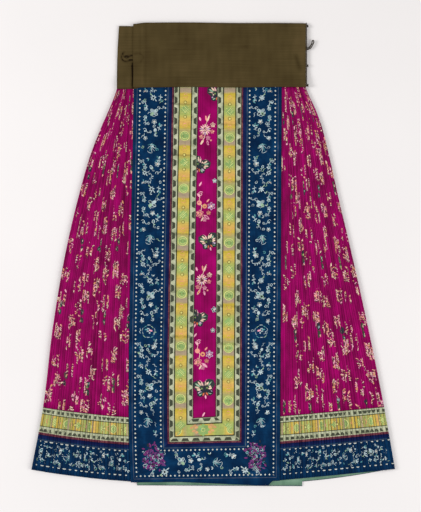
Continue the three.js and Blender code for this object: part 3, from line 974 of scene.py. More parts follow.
under_band = band_piece(
    "cloth_waistband_under",
    lambda up: TAB["left"] + TAB["lean"] * up - TAB["bow"] * np.sin(math.pi * up),
    lambda up: BAND_TOP["right"] - BAND_SET_IN["under"],
    lambda x: lerp(TAB["bottom"], SEAM_DOWN - BAND_SET_IN["under"], covered(x)),
    lambda x: lerp(TAB["top"], BAND_TOP["dip"], covered(x)) + band_slope(x),
    under_band_height, BAND_THICK, under_band_tone, 140, 54,
)


def back_band_left(up):
    return TAB["left"] + BAND_SET_IN["back"] + TAB["lean"] * up


back_band = band_piece(
    "cloth_waistband_back",
    back_band_left,
    lambda up: BAND_TOP["right"] - BAND_SET_IN["back"],
    lambda x: SEAM_DOWN - PIECE_GAP,
    lambda x: lerp(TAB["top"] + BAND_SET_IN["back"], BAND_TOP["dip"], covered(x)) + band_slope(x),
    lambda x, down: 0, BACK_BAND_THICK, cotton_tone, 90, 40,
)
bands = {"waistband_front": front_band, "waistband_under": under_band, "waistband_back": back_band}
for node, piece in bands.items():
    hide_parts(node)
print("Waistband layers, in mm:", [[round(1000 * d) for d in piece.dimensions] for piece in bands.values()])

# %% [markdown]
# ## Lining and back
# The back of the skirt is made like the front: a panel in its own ribbons with pleats at both sides. It
# lies face down. Its green lining is turned to the front, and shows as a strip below the front's hem.

# %% Outlines of the back
BACK_REACH = {"pleats": 0.995, "lining": 0.99}


def back_place(side, along, across):
    hem = BACK_PLEATED[side]["hem"]
    inner = lerp(SEAM_DOWN, hem[0], along)
    outer = lerp(SEAM_DOWN, hem[2], along)
    start = panel_edge(BACK_PANEL, side, inner) + SIDES[side] * PIECE_GAP
    end = read(SIDE_EDGE, "down", side, outer)
    sag = (hem[1] - (hem[0] + hem[2]) / 2) * 4 * across * (1 - across) * along**2
    return lerp(start, end, across), y_at(lerp(inner, outer, across) + sag)


def lining_rows(along):
    """One row of the lining, from its left edge over the pleats and the panel to its right edge."""
    out = shares(16) * BACK_REACH["lining"]
    x_left, y_left = back_place("left", along, out[::-1])
    x_right, y_right = back_place("right", along, out)
    middle = np.array([0.003, *shares(24)[1:-1], 0.997])
    x_middle = lerp(x_left[-1], x_right[0], middle)
    down_left = lerp(SEAM_DOWN, BACK_PANEL["left"]["lowest"], along)
    down_right = lerp(SEAM_DOWN, BACK_PANEL["right"]["lowest"], along)
    y_middle = y_at(lerp(down_left, down_right, middle))
    x = np.concatenate([x_left, x_middle, x_right])
    y = np.concatenate([y_left, y_middle, y_right])
    return x, y + 1.2 * along


grid = [lining_rows(along) for along in shares(60)]
lining_x = np.array([row[0] for row in grid])
lining_y = np.array([row[1] for row in grid])
wave = 0.12 * ripple(lining_x, lining_y, 40, 71)
lining = cloth_wall(
    "cloth_lining_back",
    stack(lining_x, lining_y, LINING["height"] + LINING["thick"] - 0.15 + wave),
    stack(lining_x, lining_y, LINING["height"]),
    [lining_cloth], np.stack([lining_x, lining_y], -1),
    # Painted shade: the lining is darker towards the left, as in the shadow of the front's hem
    0.4 * ripple(lining_x, lining_y, 50, 72) - 0.35 * (1 - ease(lining_x, -120, 20)),
)
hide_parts("lining_back")
print("Lining, in mm:", [round(1000 * d) for d in lining.dimensions])

# %% [markdown]
# ## The back's silk and ribbons
# The back repeats the front, but its right side faces the floor. So the plain grid is the upper one
# here, and the folds and ribbons press flat against the floor.

# %% Back pieces
BACK_FACE = 0.42
# Sets the back's uneven colour apart from the front's
FAR_FROM_FRONT = 400


def back_top(_x, _y):
    return BACK["thick"]


def back_under(_x, _y):
    return BACK_FACE


def back_worn(inset, run, _x, _y):
    return worn(inset + FAR_FROM_FRONT, run)


back_borders = frame_strips(
    "cloth_back_border", BACK_PANEL, SEAM_DOWN, 0, border_stripes, back_top, back_under,
    [navy, violet, grey_line], back_worn, 60,
)
back_trims = frame_strips(
    "cloth_back_trim", BACK_PANEL, SEAM_DOWN, BORDER + PIECE_GAP, trim_stripes, back_top, back_under,
    [tape, dark_line, gold], back_worn, 60,
)
for kind, strips, slot in (("border", back_borders, "navy_ribbon"), ("trim", back_trims, "gold_ribbon")):
    for where, strip in strips.items():
        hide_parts(f"back_{kind}_{where}")
BACK_STRIP_INSET = BORDER + TRIM + 2 * PIECE_GAP
back_panel = lay_panel(
    "cloth_back_panel", BACK_PANEL, SEAM_DOWN, back_top, back_under, [silk], BACK_STRIP_INSET, 16, 60
)
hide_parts("back_panel")
back_sides, back_walls = {}, {}
for side, seed in (("left", 43), ("right", 44)):
    hem = BACK_PLEATED[side]["hem"]
    form = PleatedSide(side, BACK_PANEL, hem, SEAM_DOWN, seed, -1, BACK_REACH["pleats"])
    back_sides[side] = form
    back_walls[side] = pleated_walls("cloth_back_", side, form, 24)
back_pieces = [back_panel, *back_borders.values(), *back_trims.values()]
back_pieces += [wall for walls in back_walls.values() for wall in walls.values()]
print("Back pieces:", len(back_pieces))

# %% [markdown]
# ## Cord, knots and the worked eyelet
# At the right edge of the waistband runs a thin twisted cord, with a doubled loop for a button and three
# small knots. A twisted cord is a tube whose section has two lobes that turn as it goes. At the left, on
# the tab, a worked eyelet shows as a lump under the front layer's edge.

# %% Cord and eyelet
EDGE_CORD = {"radius": 0.8, "downs": [1, 40, 80, 108, 118, 126, 134]}
LOOP = {"radius": 0.9, "strands": 2.8, "down": 55, "droop": 0.06}
LOOP_REACH = [(0, 0, 0.1), (4.5, 1.6, 0.6), (8.5, 5.6, 0.95), (11.2, 11, 1.2), (12.6, 16.5, 1.35)]
KNOT_DOWNS = (7.5, 90, 131)
KNOT_SIZE = {"half": 1.7, "tall": 3.2}
BUTTONHOLE = {"x": -180.5, "down": 71.5, "radius": 2.6, "thread": 0.7, "stretch": 1.5}

cord_cotton = plain_weave(
    "dark cotton cord", (26, 20, 10), (42, 33, 18), (60, 48, 29), 0.9, 0.0, 14, 0.08,
    CORD_STREAKS, 200, 0.08,
)


def refined(points, steps):
    """A smooth path through some points."""
    points = np.asarray(points, float)
    reach = np.concatenate([[0], np.cumsum(np.linalg.norm(np.diff(points, axis=0), axis=1))])
    rows = [{"at": at, "x": x, "y": y, "z": z} for at, (x, y, z) in zip(reach, points)]
    ats = np.linspace(0, reach[-1], steps + 1)
    return np.stack([[float(flowing(rows, "at", key, at)) for key in "xyz"] for at in ats])


def cord_mesh(name, path, radius, lay_length, lobes=2, sides=10, closed=False, depth=0.16):
    """A tube of lobes that wind round the path, one turn in each lay_length."""
    path = np.asarray(path, float)
    ahead = np.gradient(path, axis=0)
    if closed:
        ahead = np.roll(path, -1, 0) - np.roll(path, 1, 0)
    ahead /= np.linalg.norm(ahead, axis=1)[:, None]
    up = np.array([0.05, 0.02, 1.0])
    out = np.cross(ahead, up)
    out /= np.linalg.norm(out, axis=1)[:, None]
    over = np.cross(out, ahead)
    steps = np.linalg.norm(np.diff(path, axis=0, append=path[:1] if closed else path[-1:]), axis=1)
    run = np.concatenate([[0], np.cumsum(steps)[:-1]])
    turns = np.arange(sides) * math.tau / sides
    lobe = lobes * (turns[None, :] - run[:, None] * math.tau / lay_length)
    reach = radius * (1 - depth + depth * np.cos(lobe))
    ring = np.cos(turns)[None, :, None] * out[:, None] + np.sin(turns)[None, :, None] * over[:, None]
    points = path[:, None] + reach[..., None] * ring
    rows = len(path)
    faces = []
    for i in range(rows if closed else rows - 1):
        here, there = i * sides, (i + 1) % rows * sides
        for j in range(sides):
            after = (j + 1) % sides
            faces.append([here + j, here + after, there + after, there + j])
    if not closed:
        faces += [list(range(sides))[::-1], [(rows - 1) * sides + j for j in range(sides)]]
    cloth = np.stack(np.broadcast_arrays(turns[None, :] * radius, run[:, None]), -1).reshape(-1, 2)
    tone = np.zeros(rows * sides)
    piece = make_mesh(name, points.reshape(-1, 3), faces, [cord_cotton], None, None, cloth, tone)
    return piece

# %% [markdown]
# The cord follows the band's edge down, the loop stands out from it, the knots are short windings of
# the same cord, and the eyelet is a ring of close stitches.

# %% Laying the cords
def band_middle(down):
    return float(read(BAND_FORM, "up", "front", SEAM_DOWN - down)) + BAND_THICK / 2


edge_x = BAND_TOP["right"] + PIECE_GAP + EDGE_CORD["radius"]
edge_path = refined([(edge_x, y_at(down), band_middle(down)) for down in EDGE_CORD["downs"]], 150)
edge_cord = cord_mesh("cotton_edge_cord", edge_path, EDGE_CORD["radius"] + 0.2, 7)
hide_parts("waistband_edge_cord")

loop_x = edge_x + EDGE_CORD["radius"] + PIECE_GAP
strands = {}
for aside in (-1, 1):
    strands[aside] = [
        (
            loop_x + out + aside * LOOP["strands"] / 2 * math.sin(turn),
            y_at(LOOP["down"]) + up - aside * LOOP["strands"] / 2 * math.cos(turn),
            band_middle(LOOP["down"]) - out * LOOP["droop"],
        )
        for out, up, turn in LOOP_REACH
    ]
out, up, turn = LOOP_REACH[-1]
half = LOOP["strands"] / 2
loop_tip = (
    loop_x + out + half * math.cos(turn), y_at(LOOP["down"]) + up + half * math.sin(turn),
    band_middle(LOOP["down"]) - out * LOOP["droop"],
)
loop_path = refined([*strands[-1], loop_tip, *strands[1][::-1]], 90)
button_loop = cord_mesh("cotton_button_loop", loop_path, LOOP["radius"] + 0.45, 6)
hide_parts("button_loop")

for i, down in enumerate(KNOT_DOWNS):
    turns = np.linspace(0, 3 * math.tau, 64)
    winding = np.stack([
        loop_x + KNOT_SIZE["half"] - 0.5 + 0.7 * np.cos(turns),
        y_at(down) + (KNOT_SIZE["tall"] - 0.95) * (turns / (1.5 * math.tau) - 1),
        band_middle(down) + 0.7 * np.sin(turns),
    ], -1)
    knot = cord_mesh(f"cotton_knot_{i + 1}", winding, 0.95, 5)
    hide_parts(f"loop_knot_{i + 1}")

turns = np.arange(96) / 96 * math.tau
tab_top = float(read(BAND_FORM, "up", "under", SEAM_DOWN - BUTTONHOLE["down"])) + BAND_THICK
rim = np.stack([
    BUTTONHOLE["x"] + BUTTONHOLE["radius"] * BUTTONHOLE["stretch"] * np.cos(turns),
    y_at(BUTTONHOLE["down"]) + BUTTONHOLE["radius"] * np.sin(turns),
    tab_top + PIECE_GAP + BUTTONHOLE["thread"] + 0.25 + 0 * turns,
], -1)
eyelet = cord_mesh("cotton_eyelet", rim, BUTTONHOLE["thread"] + 0.1, 1.1, 1, 10, True, 0.14)
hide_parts("buttonhole")

# %% [markdown]
# ## Drawing with silk threads
# The patterns are woven with coloured wefts, so each small area of colour is a flat patch of thread that
# stands a hair above the ground. A figure is therefore a list of small convex shapes, each with its
# thread's name. A few tools make all of them: a petal, a disc, a stroke, an arc and a curl.

# %% Threads and simple shapes
THREADS = {
    "jade": (140, 172, 98), "apricot": (212, 160, 104), "seafoam": (104, 166, 138),
    "purple": (112, 26, 106), "white": (186, 204, 206), "dot": (204, 208, 196),
    "cream": (238, 202, 178), "pink": (240, 166, 188), "salmon": (240, 156, 142),
    "peach": (222, 152, 104), "orange": (212, 104, 62), "lavender": (190, 166, 192),
    "plum": (98, 44, 112), "magenta": (150, 18, 96), "wine": (88, 4, 46), "teal": (84, 156, 160),
    "sea": (50, 116, 122), "leaf": (118, 146, 78), "olive": (146, 116, 66), "lime": (186, 192, 112),
    "mint": (150, 184, 150), "gold": (202, 164, 76), "straw": (216, 214, 130), "brass": (112, 106, 52),
    "fern": (164, 172, 92), "grey": (146, 166, 172), "ink": (30, 42, 42), "night": (5, 16, 36),
    "moss": (52, 58, 38),
}


print("Thread colours:", len(THREADS))


def turned(points, degrees):
    turn = math.radians(degrees)
    cos, sin = math.cos(turn), math.sin(turn)
    return np.asarray(points, float) @ np.array([[cos, sin], [-sin, cos]])


def petal(length, width, turn, thread, start=0.0):
    """A leaf shape that grows out from near the middle, straight up before it is turned."""
    half = width / 2
    outline = [(0, 0), (half, 0.35), (half * 0.8, 0.8), (0, 1), (-half * 0.8, 0.8), (-half, 0.35)]
    points = [(x, start + length * y) for x, y in outline]
    return [(turned(points, turn), thread)]


def disc(radius, thread, sides=7):
    turns = np.arange(sides) * math.tau / sides
    return [(radius * np.stack([np.cos(turns), np.sin(turns)], -1), thread)]


# Strokes are woven finer than they were first drawn
STROKE_SHARE = 0.74


def stroke(points, width, thread, taper=0.6):
    """A line of threads through some points, narrower at its two ends."""
    width = width * STROKE_SHARE
    points = np.asarray(points, float)
    ahead = np.gradient(points, axis=0)
    ahead /= np.linalg.norm(ahead, axis=1)[:, None]
    side = np.stack([-ahead[:, 1], ahead[:, 0]], -1)
    share = shares(len(points) - 1)
    half = width / 2 * lerp(taper, 1, np.sin(math.pi * share))[:, None]
    left, right = points + side * half, points - side * half
    corners = zip(left[:-1], left[1:], right[1:], right[:-1])
    return [(np.array(corner), thread) for corner in corners]


def arc(radius, start, end, width, thread, steps=6):
    turns = np.radians(np.linspace(start, end, steps + 1))
    return stroke(radius * np.stack([np.cos(turns), np.sin(turns)], -1), width, thread)


def curl(size, width, thread, turns=1.2, steps=8):
    """A tendril that winds inwards."""
    share = shares(steps)
    angle = share * turns * math.tau
    radius = size * (1 - 0.75 * share)
    points = np.stack([radius * np.cos(angle) - size, radius * np.sin(angle)], -1)
    return stroke(points, width, thread, 0.8)


def moved(shapes, x=0.0, y=0.0, turn=0.0, size=1.0, flip=False):
    made = []
    for points, thread in shapes:
        points = points * (-1, 1) if flip else points
        made.append((turned(points * size, turn) + (x, y), thread))
    return made

# %% [markdown]
# A flower is a ring of petals with a heart. Where a petal has a dark middle, a smaller one in another
# thread lies on top of it.

# %% Flowers
def blade(length, width, thread, x, y, turn):
    """A petal that is set down at a place and turned there."""
    return moved(petal(length, width, 0, thread), x, y, turn)


def bloom(radius, petals, thread, heart, second=None, width=0.62):
    """An open flower. Its petals may be of two threads in turn."""
    shapes = []
    for i in range(petals):
        colour = second if second and i % 2 else thread
        shapes += petal(radius, radius * width * 4.8 / petals, 360 * i / petals, colour, radius * 0.12)
    return shapes + disc(radius * 0.26, heart)


def outlined(length, width, turn, edge, inside, start=0.0):
    """A petal with a darker middle, as where only its rim is woven in the bright thread."""
    inner = petal(length * 0.7, width * 0.6, turn, inside, start + length * 0.15)
    return petal(length, width, turn, edge, start) + inner


def open_flower(radius, petals, edge, inside, heart, turn=0):
    shapes = []
    for i in range(petals):
        angle = turn + 360 * i / petals
        shapes += outlined(radius * 0.9, radius * 3.4 / petals, angle, edge, inside, radius * 0.1)
    return shapes + disc(radius * 0.24, heart)

# %% [markdown]
# Larger figures are put together from those tools: a plant in a scroll, a round flower, a moth, a bird.
# Nothing here is traced. Each is a plain version of an old weaver's motif, sized to fill the same room.

# %% Border figures
def scroll_plant():
    shapes = stroke([(0, -12), (2, -6), (0, 0), (-1.5, 5), (0, 8)], 2.2, "white")
    shapes += moved(curl(4.8, 1.9, "white"), 10.5, -3.5, 80)
    shapes += moved(curl(3.6, 1.7, "grey"), -1, -9, 190)
    shapes += moved(open_flower(6, 5, "white", "sea", "night"), 0, 11, 10)
    return shapes + outlined(7, 3.8, -60, "teal", "night") + blade(5, 2.4, "white", -1, 2, 70)


def round_flower():
    shapes = []
    for i in range(7):
        shapes += petal(5, 3.4, 360 * i / 7, ("white", "grey")[i % 2], 3.2)
    shapes += disc(4.6, "white", 8) + disc(3.2, "night", 7)
    return shapes + blade(8, 3.2, "mint", 4, -6, -140) + blade(7, 3, "white", -5, 5, 40)


def teal_sprig():
    shapes = stroke([(0, -11), (1, -4), (-0.5, 3)], 2.0, "white")
    shapes += moved(outlined(10, 4.8, 25, "teal", "night"), -0.5, 2)
    shapes += moved(outlined(9, 4.4, -32, "white", "sea"), 0, 1)
    shapes += blade(7, 3, "white", 0.5, -4, 75)
    return shapes + blade(6, 2.6, "grey", 0.5, -6, -80)


def large_moth():
    shapes = []
    wings = (50, "white", "night"), (-46, "mint", "night"), (126, "white", "sea"), (-130, "grey", "night")
    for turn, edge, inside in wings:
        shapes += outlined(12.5, 8.5, turn, edge, inside)
    for turn in (20, -20):
        shapes += moved(arc(7, 30, 120, 1.2, "white", 4), 0, 4, turn)
    return shapes + stroke([(0, -6), (0, 7)], 2.2, "grey", 0.9)


def bud():
    shapes = outlined(12, 9, 0, "white", "night") + moved(petal(4.4, 2, 0, "teal"), 0, 4)
    shapes += stroke([(0, 0), (1.5, -4), (0, -10)], 1.9, "white")
    return shapes + moved(curl(3.2, 1.6, "grey"), 2, -8, 150) + blade(6, 3, "mint", 0, -3, -75)


def tendril():
    points = [(-8, 6), (-4, 7.5), (0, 3), (1, -2), (5, -5), (9, -2)]
    shapes = stroke(points, 2.2, "white") + moved(curl(3.8, 1.7, "white"), -7, 6, 20)
    return shapes + moved(disc(2.4, "white"), 4, 3) + moved(disc(1.2, "night"), 4, 3)


def star():
    return open_flower(7.4, 5, "white", "night", "cream")


def ring_of_waves():
    """A ring of waves round a small bird-like curl."""
    shapes = []
    for i in range(10):
        thread = ("grey", "mint", "white", "teal", "grey")[i % 5]
        shapes += arc(16.5 + (i % 2) * 1.8, 36 * i, 36 * i + 30, 2.3, thread)
    shapes += moved(curl(6, 2.8, "white"), 5, 0, 60) + moved(outlined(11, 5, 75, "pink", "night"), -1, -4)
    return shapes + blade(10, 4, "teal", 1, -5, -95) + moved(disc(2.4, "white"), -3, 4)


def swooping_spray():
    shapes = []
    leaves = (0, 19, "white"), (24, 17, "grey"), (-24, 16, "teal"), (58, 14, "white"), (-62, 14, "grey")
    for turn, length, thread in leaves:
        feather = stroke([(0, 0), (1.6, length * 0.5), (-1, length)], 2.3, thread)
        shapes += moved(feather, 0, -8, turn)
    shapes += moved(open_flower(6, 6, "white", "sea", "night"), 0, -9)
    shapes += moved(arc(15, 200, 310, 2.0, "teal", 7), 2, 2)
    return shapes + moved(arc(12, 30, 100, 1.8, "white", 5), 2, 0)


def pale_bird():
    shapes = outlined(11, 7, 35, "white", "night") + outlined(11, 5.5, -60, "grey", "night")
    return shapes + blade(8, 3.4, "teal", 0, 0, 170) + moved(disc(1.8, "cream"), 3, 4)

# %% [markdown]
# ## The border's repeat
# One group of figures comes back all along the ribbon, and small curls fill the ground between them.

# %% Border repeat
# One repeat of the border: how far along it a figure lies, and how far in from its outer edge
BORDER_REPEAT = 190
BORDER_FIGURES = [
    (0, 24, pale_bird, 20, 0.8), (1, 36, tendril, 100, 0.75), (16, 41, round_flower, 0, 1.0),
    (17, 56, teal_sprig, 0, 0.95), (31, 26, scroll_plant, 0, 1.0), (36, 55, tendril, 30, 0.85),
    (46, 43, large_moth, 0, 1.1), (64, 25, scroll_plant, 180, 0.95), (66, 44, star, 0, 1.0),
    (77, 55, teal_sprig, 160, 1.0), (83, 28, tendril, 0, 1.05), (88, 46, bud, 180, 1.0),
    (100, 26, star, 0, 0.85), (122, 40, swooping_spray, 0, 1.0), (144, 55, teal_sprig, 190, 0.9),
    (153, 25, scroll_plant, 10, 1.0), (154, 52, star, 20, 1.1), (163, 40, bud, 200, 0.8),
    (172, 26, round_flower, 0, 0.85), (170, 53, tendril, 60, 0.95), (180, 40, tendril, 150, 0.8),
]
BORDER_FIGURE_SIZE = 0.74
# The repeat in which a ring of waves stands in place of the swooping spray
RING_REPEAT = 2


def small_scroll(draw):
    """A short curl or a pair of leaves, which fills the ground between the larger figures."""
    thread = ("white", "grey", "teal", "white", "mint")[draw.integers(5)]
    kind = draw.integers(3)
    if kind == 0:
        shapes = moved(curl(3.6, 1.6, thread, 1.0, 6), 3.6, 0)
    elif kind == 1:
        shapes = stroke([(-5, -1), (-2, 1.5), (1, -0.5), (5, 1)], 1.6, thread)
    else:
        shapes = petal(6, 2.2, 35, thread) + petal(5.4, 2, -30, "white") + disc(1.3, "night")
    return moved(shapes, 0, 0, draw.uniform(0, 360))


def border_run(start, end, first, between=24):
    """Figures along a stretch of border, with points of (distance along, inset)."""
    figures = []
    count = math.ceil((end - first) / BORDER_REPEAT) + 1
    for repeat in range(-1, count):
        for run, inset, figure, turn, size in BORDER_FIGURES:
            at = first + repeat * BORDER_REPEAT + run
            if figure is swooping_spray and repeat == RING_REPEAT:
                figure = ring_of_waves
            if start + 8 < at < end - 8:
                figures.append(moved(figure(), at, inset, turn - 90, size * BORDER_FIGURE_SIZE))
    draw = np.random.default_rng(int(first + end))
    for at in np.arange(start + 12, end - 10, between):
        for low, high in ((20, 38), (42, 60)):
            figures.append(moved(small_scroll(draw), at + draw.uniform(-4, 4), draw.uniform(low, high)))
    return figures


DOT_PITCH = 8.9
# How far in from the border's outer edge the two rows of teeth run
OUTER_DOTS, INNER_DOTS = 13.3, 66.3


def dots(start, end, inset, outward):
    """A row of small woven teeth that point along the border."""
    shapes = []
    for at in np.arange(start + DOT_PITCH / 2, end, DOT_PITCH):
        tooth = [(-1.9, 0), (0, -1.9 * outward), (1.9, 0), (0.9, 1.6 * outward), (-0.9, 1.6 * outward)]
        tooth = tooth if outward > 0 else tooth[::-1]
        shapes.append((np.array(tooth) + (at, inset), "dot"))
    return [shapes]


print("Figures in one repeat:", len(BORDER_FIGURES), "in", BORDER_REPEAT, "mm")

# %% [markdown]
# ## The trim's figures
# The trim's tapes carry dark teeth. The gold has an endless knot, a coin, clouds and small rings.

# %% Trim figures
TOOTH_PITCH = 21.7


def tape_teeth(start, end, middle, outward):
    """Dark trapezoids whose long side faces away from the gold."""
    shapes = []
    for at in np.arange(start + TOOTH_PITCH / 2, end, TOOTH_PITCH):
        far, near = middle + 3.1 * outward, middle - 3.1 * outward
        for part in (-1, -0.5, 0, 0.5):
            ahead = part + 0.5
            corners = [(at + 8.1 * part, far), (at + 8.1 * ahead, far)]
            corners += [(at + 4.9 * ahead, near), (at + 4.9 * part, near)]
            shapes.append((np.array(corners), "moss"))
    return [shapes]


def endless_knot():
    """Crossing lines, as in the old sign of a knot without an end."""
    shapes = disc(9.5, "jade", 4) + disc(7.8, "jade", 8)
    for step in (-6.6, -3.3, 0, 3.3, 6.6):
        reach = 10 - abs(step)
        for turn in (45, -45):
            line = stroke([(-reach, step), (reach, step)], 1.5, "straw" if abs(step) < 5 else "fern", 0.9)
            shapes += moved(line, 0, 0, turn)
    return shapes


def teal_medallion():
    """The larger blossom in the middle of the bottom band, with a warm cloud at each side of it."""
    shapes = []
    for side in (-1, 1):
        for aside, up in ((18, 4), (23, -3), (27, 4), (21, 8), (17, -6)):
            shapes += moved(petal(9, 5, 0, "apricot"), aside * side, up, 70 * side)
    for i in range(8):
        shapes += petal(13, 9, 45 * i, "jade")
    return shapes + disc(7, "seafoam", 8) + arc(4, 0, 360, 1.4, "straw", 8)


def coin():
    shapes = disc(8.8, "jade", 12) + arc(9.6, 0, 360, 2.2, "straw", 12) + arc(6.2, 20, 160, 1.8, "straw", 6)
    shapes += arc(6.2, 200, 340, 1.8, "straw", 6)
    for aside in (-3.2, 3.2):
        shapes += moved(arc(2.8, 0, 360, 1.2, "jade", 6), aside, 0) + moved(disc(1.1, "brass"), aside, 0)
    return shapes


def small_coin():
    return arc(3.4, 0, 360, 1.5, "brass", 8) + disc(1.6, "straw")


def cloud():
    shapes = arc(6, 20, 160, 1.5, "peach", 5) + moved(arc(3.6, 200, 340, 1.4, "salmon", 4), 0, 2)
    return shapes + moved(arc(8.5, 50, 130, 1.2, "gold", 4), 0, 1)


GOLD_FIGURES = [
    (0, endless_knot), (-15, small_coin), (15, small_coin), (30, cloud), (54.6, coin), (78, cloud),
]


def gold_run(start, end, first, middle):
    figures = []
    for repeat in range(-1, math.ceil((end - first) / GOLD_REPEAT) + 1):
        for run, figure in GOLD_FIGURES:
            at = first + repeat * GOLD_REPEAT + run
            if start + 7 < at < end - 7:
                figures.append(moved(figure(), at, middle, -90))
    return figures


print("Gold figures:", len(gold_run(0, 1000, 0, 0)), "to a metre")

# %% [markdown]
# ## Laying figures on cloth
# A figure is drawn flat, then every corner of it is carried to its place on the finished cloth. Where
# strips are mitred or pleats overlap, it is first cut: only the part on one side of a line is kept.

# %% Cutting and laying
def clip(points, direction, limit):
    """The part of a convex shape where the point times the direction is at most the limit."""
    past = points @ np.asarray(direction, float) - limit
    if (past <= 0).all():
        return points
    kept = []
    for i in range(len(points)):
        j = (i + 1) % len(points)
        if past[i] <= 0:
            kept.append(points[i])
        if past[i] * past[j] < 0:
            kept.append(points[i] + (points[j] - points[i]) * past[i] / (past[i] - past[j]))
    return np.array(kept).reshape(-1, 2)


def area_of(points):
    x, y = points[:, 0], points[:, 1]
    return abs(np.dot(x, np.roll(y, -1)) - np.dot(y, np.roll(x, -1))) / 2


thread_finish = Finish("raised pattern threads", 0.5, 0.15, (255, 240, 230), 0.4)
thread_streaks = thread_finish.noise(thread_finish.cloth_place(900, 300), 1.0, 2.0)
thread_shade = thread_finish.sum((thread_streaks, 0.5), (1.0, 0.72))
thread_colour = thread_finish.mix(
    1.0, thread_finish.attribute("tint", "Color"), thread_shade, "MULTIPLY"
)
threads = thread_finish.finish(thread_colour, thread_finish.weave(18, 0.08))


# In a figure, a later shape lies a little over an earlier one, so that they never share a height
LAYERS = 100
LAYER_STEP = 0.003


def shown(points):
    return len(points) > 2 and area_of(points) > 0.05


def lay(name, figures, surface, rise=0.16, sunk=0.06, facing=1, walls=True):
    """One mesh of all the figures, carried to a surface that gives x, y and z for flat places."""
    figures = [[(points, thread) for points, thread in figure if shown(points)] for figure in figures]
    shapes = [shape for figure in figures for shape in figure]
    order = np.concatenate([np.arange(len(figure)) % LAYERS for figure in figures])
    sizes = [len(points) for points, _ in shapes]
    flat = np.concatenate([points for points, _ in shapes])
    x, y, z = surface(flat[:, 0], flat[:, 1])
    layer = np.repeat(order, sizes) * LAYER_STEP
    over, lower = stack(x, y, z + facing * (rise + layer)), stack(x, y, z - facing * sunk)
    draw = np.random.default_rng(1)
    tints, faces = [], []
    start, total = 0, len(flat)
    for (points, thread), count in zip(shapes, sizes):
        ring = list(range(start, start + count))
        centre = over[ring].mean(0)
        normal = sum(np.cross(over[ring[i]] - centre, over[ring[i - 1]] - centre)[2] for i in range(count))
        if normal * facing > 0:
            ring = ring[::-1]
        faces.append(ring)
        if walls:
            faces += [[ring[i - 1], ring[i - 1] + total, ring[i] + total, ring[i]] for i in range(count)]
        shade = np.array(linear(*THREADS[thread])) * draw.uniform(0.85, 1.12)
        tints += [shade] * count
        start += count
    copies = 2 if walls else 1
    points = np.concatenate([over, lower][:copies])
    cloth = np.concatenate([flat] * copies)
    piece = make_mesh(name, points, faces, [threads], None, np.zeros(len(faces), bool), cloth)
    layer = piece.data.attributes.new("tint", "FLOAT_COLOR", "POINT")
    colours = np.clip(np.concatenate([tints] * copies), 0, 1)
    colours[:, 3] = 1
    layer.data.foreach_set("color", colours.ravel())
    return piece

# %% [markdown]
# The frame's three strips carry teeth, scrolls and gold figures. Down a side, the distance along is the
# distance down the skirt. Along the hem it runs from the left corner to the right one.

# %% Figures on the frame
def mitred(figures, panel, side):
    """Cuts figures on one strip, given as (along, inset), at its mitres."""
    if side == "bottom":
        cuts = [((-1, 1), 0), ((1, 1), hem_length(panel))]
    else:
        cuts = [((1, 1), panel[side]["lowest"])]
    made = []
    for figure in figures:
        kept = []
        for points, thread in figure:
            for direction, limit in cuts:
                if len(points):
                    points = clip(points, direction, limit)
            kept.append((points, thread))
        made.append(kept)
    return made


def frame_surface(panel, side, height):
    def surface(run, inset):
        if side == "bottom":
            x, y = along_hem(panel, inset, (run - inset) / (hem_length(panel) - 2 * inset))
        else:
            x, y = beside(panel, side, inset, run)
        return x, y, height(x, y)
    return surface


def border_drawn(panel, side, first):
    if side == "bottom":
        end = hem_length(panel)
        figures = border_run(86, end - 84, first)
        figures += dots(8, end - 8, OUTER_DOTS, -1) + dots(60, end - 60, INNER_DOTS, 1)
    else:
        end = panel[side]["lowest"]
        figures = border_run(TOP, end - 88, first)
        figures += dots(TOP, end - 14, OUTER_DOTS, -1) + dots(TOP, end - 66, INNER_DOTS, 1)
    return mitred(figures, panel, side)


# How far in from the trim's outer edge its two tapes and its gold have their middles
OUTER_TAPE, GOLD_MIDDLE, INNER_TAPE = 4.9, 24.3, 45.5
TRIM_INSET = BORDER + PIPING + 2 * PIECE_GAP
MEDALLION = {"at": 152.3, "half": 28}


def trim_drawn(panel, side, first, start=TRIM_INSET):
    if side == "bottom":
        begin, end = start, hem_length(panel) - start
    else:
        begin, end = TOP, panel[side]["lowest"] - start
    figures = tape_teeth(begin, end, start + OUTER_TAPE, -1) + tape_teeth(begin, end, start + INNER_TAPE, 1)
    middle = start + GOLD_MIDDLE
    if side == "bottom":
        figures += gold_run(begin, MEDALLION["at"] - MEDALLION["half"], first, middle)
        figures += gold_run(MEDALLION["at"] + MEDALLION["half"], end, first, middle)
        figures.append(moved(teal_medallion(), MEDALLION["at"], middle))
    else:
        figures += gold_run(begin, end, first, middle)
    return mitred(figures, panel, side)

# %% [markdown]
# Each lower corner has a bush of purple blossom, strewn over an oval by a seed, with pale curls in it.

# %% Corner flowers
# The bush's petals, where its middle lies, and its size
BUSH = {"petals": 105, "up": 52, "inset": 50, "tall": 58, "wide": 44}


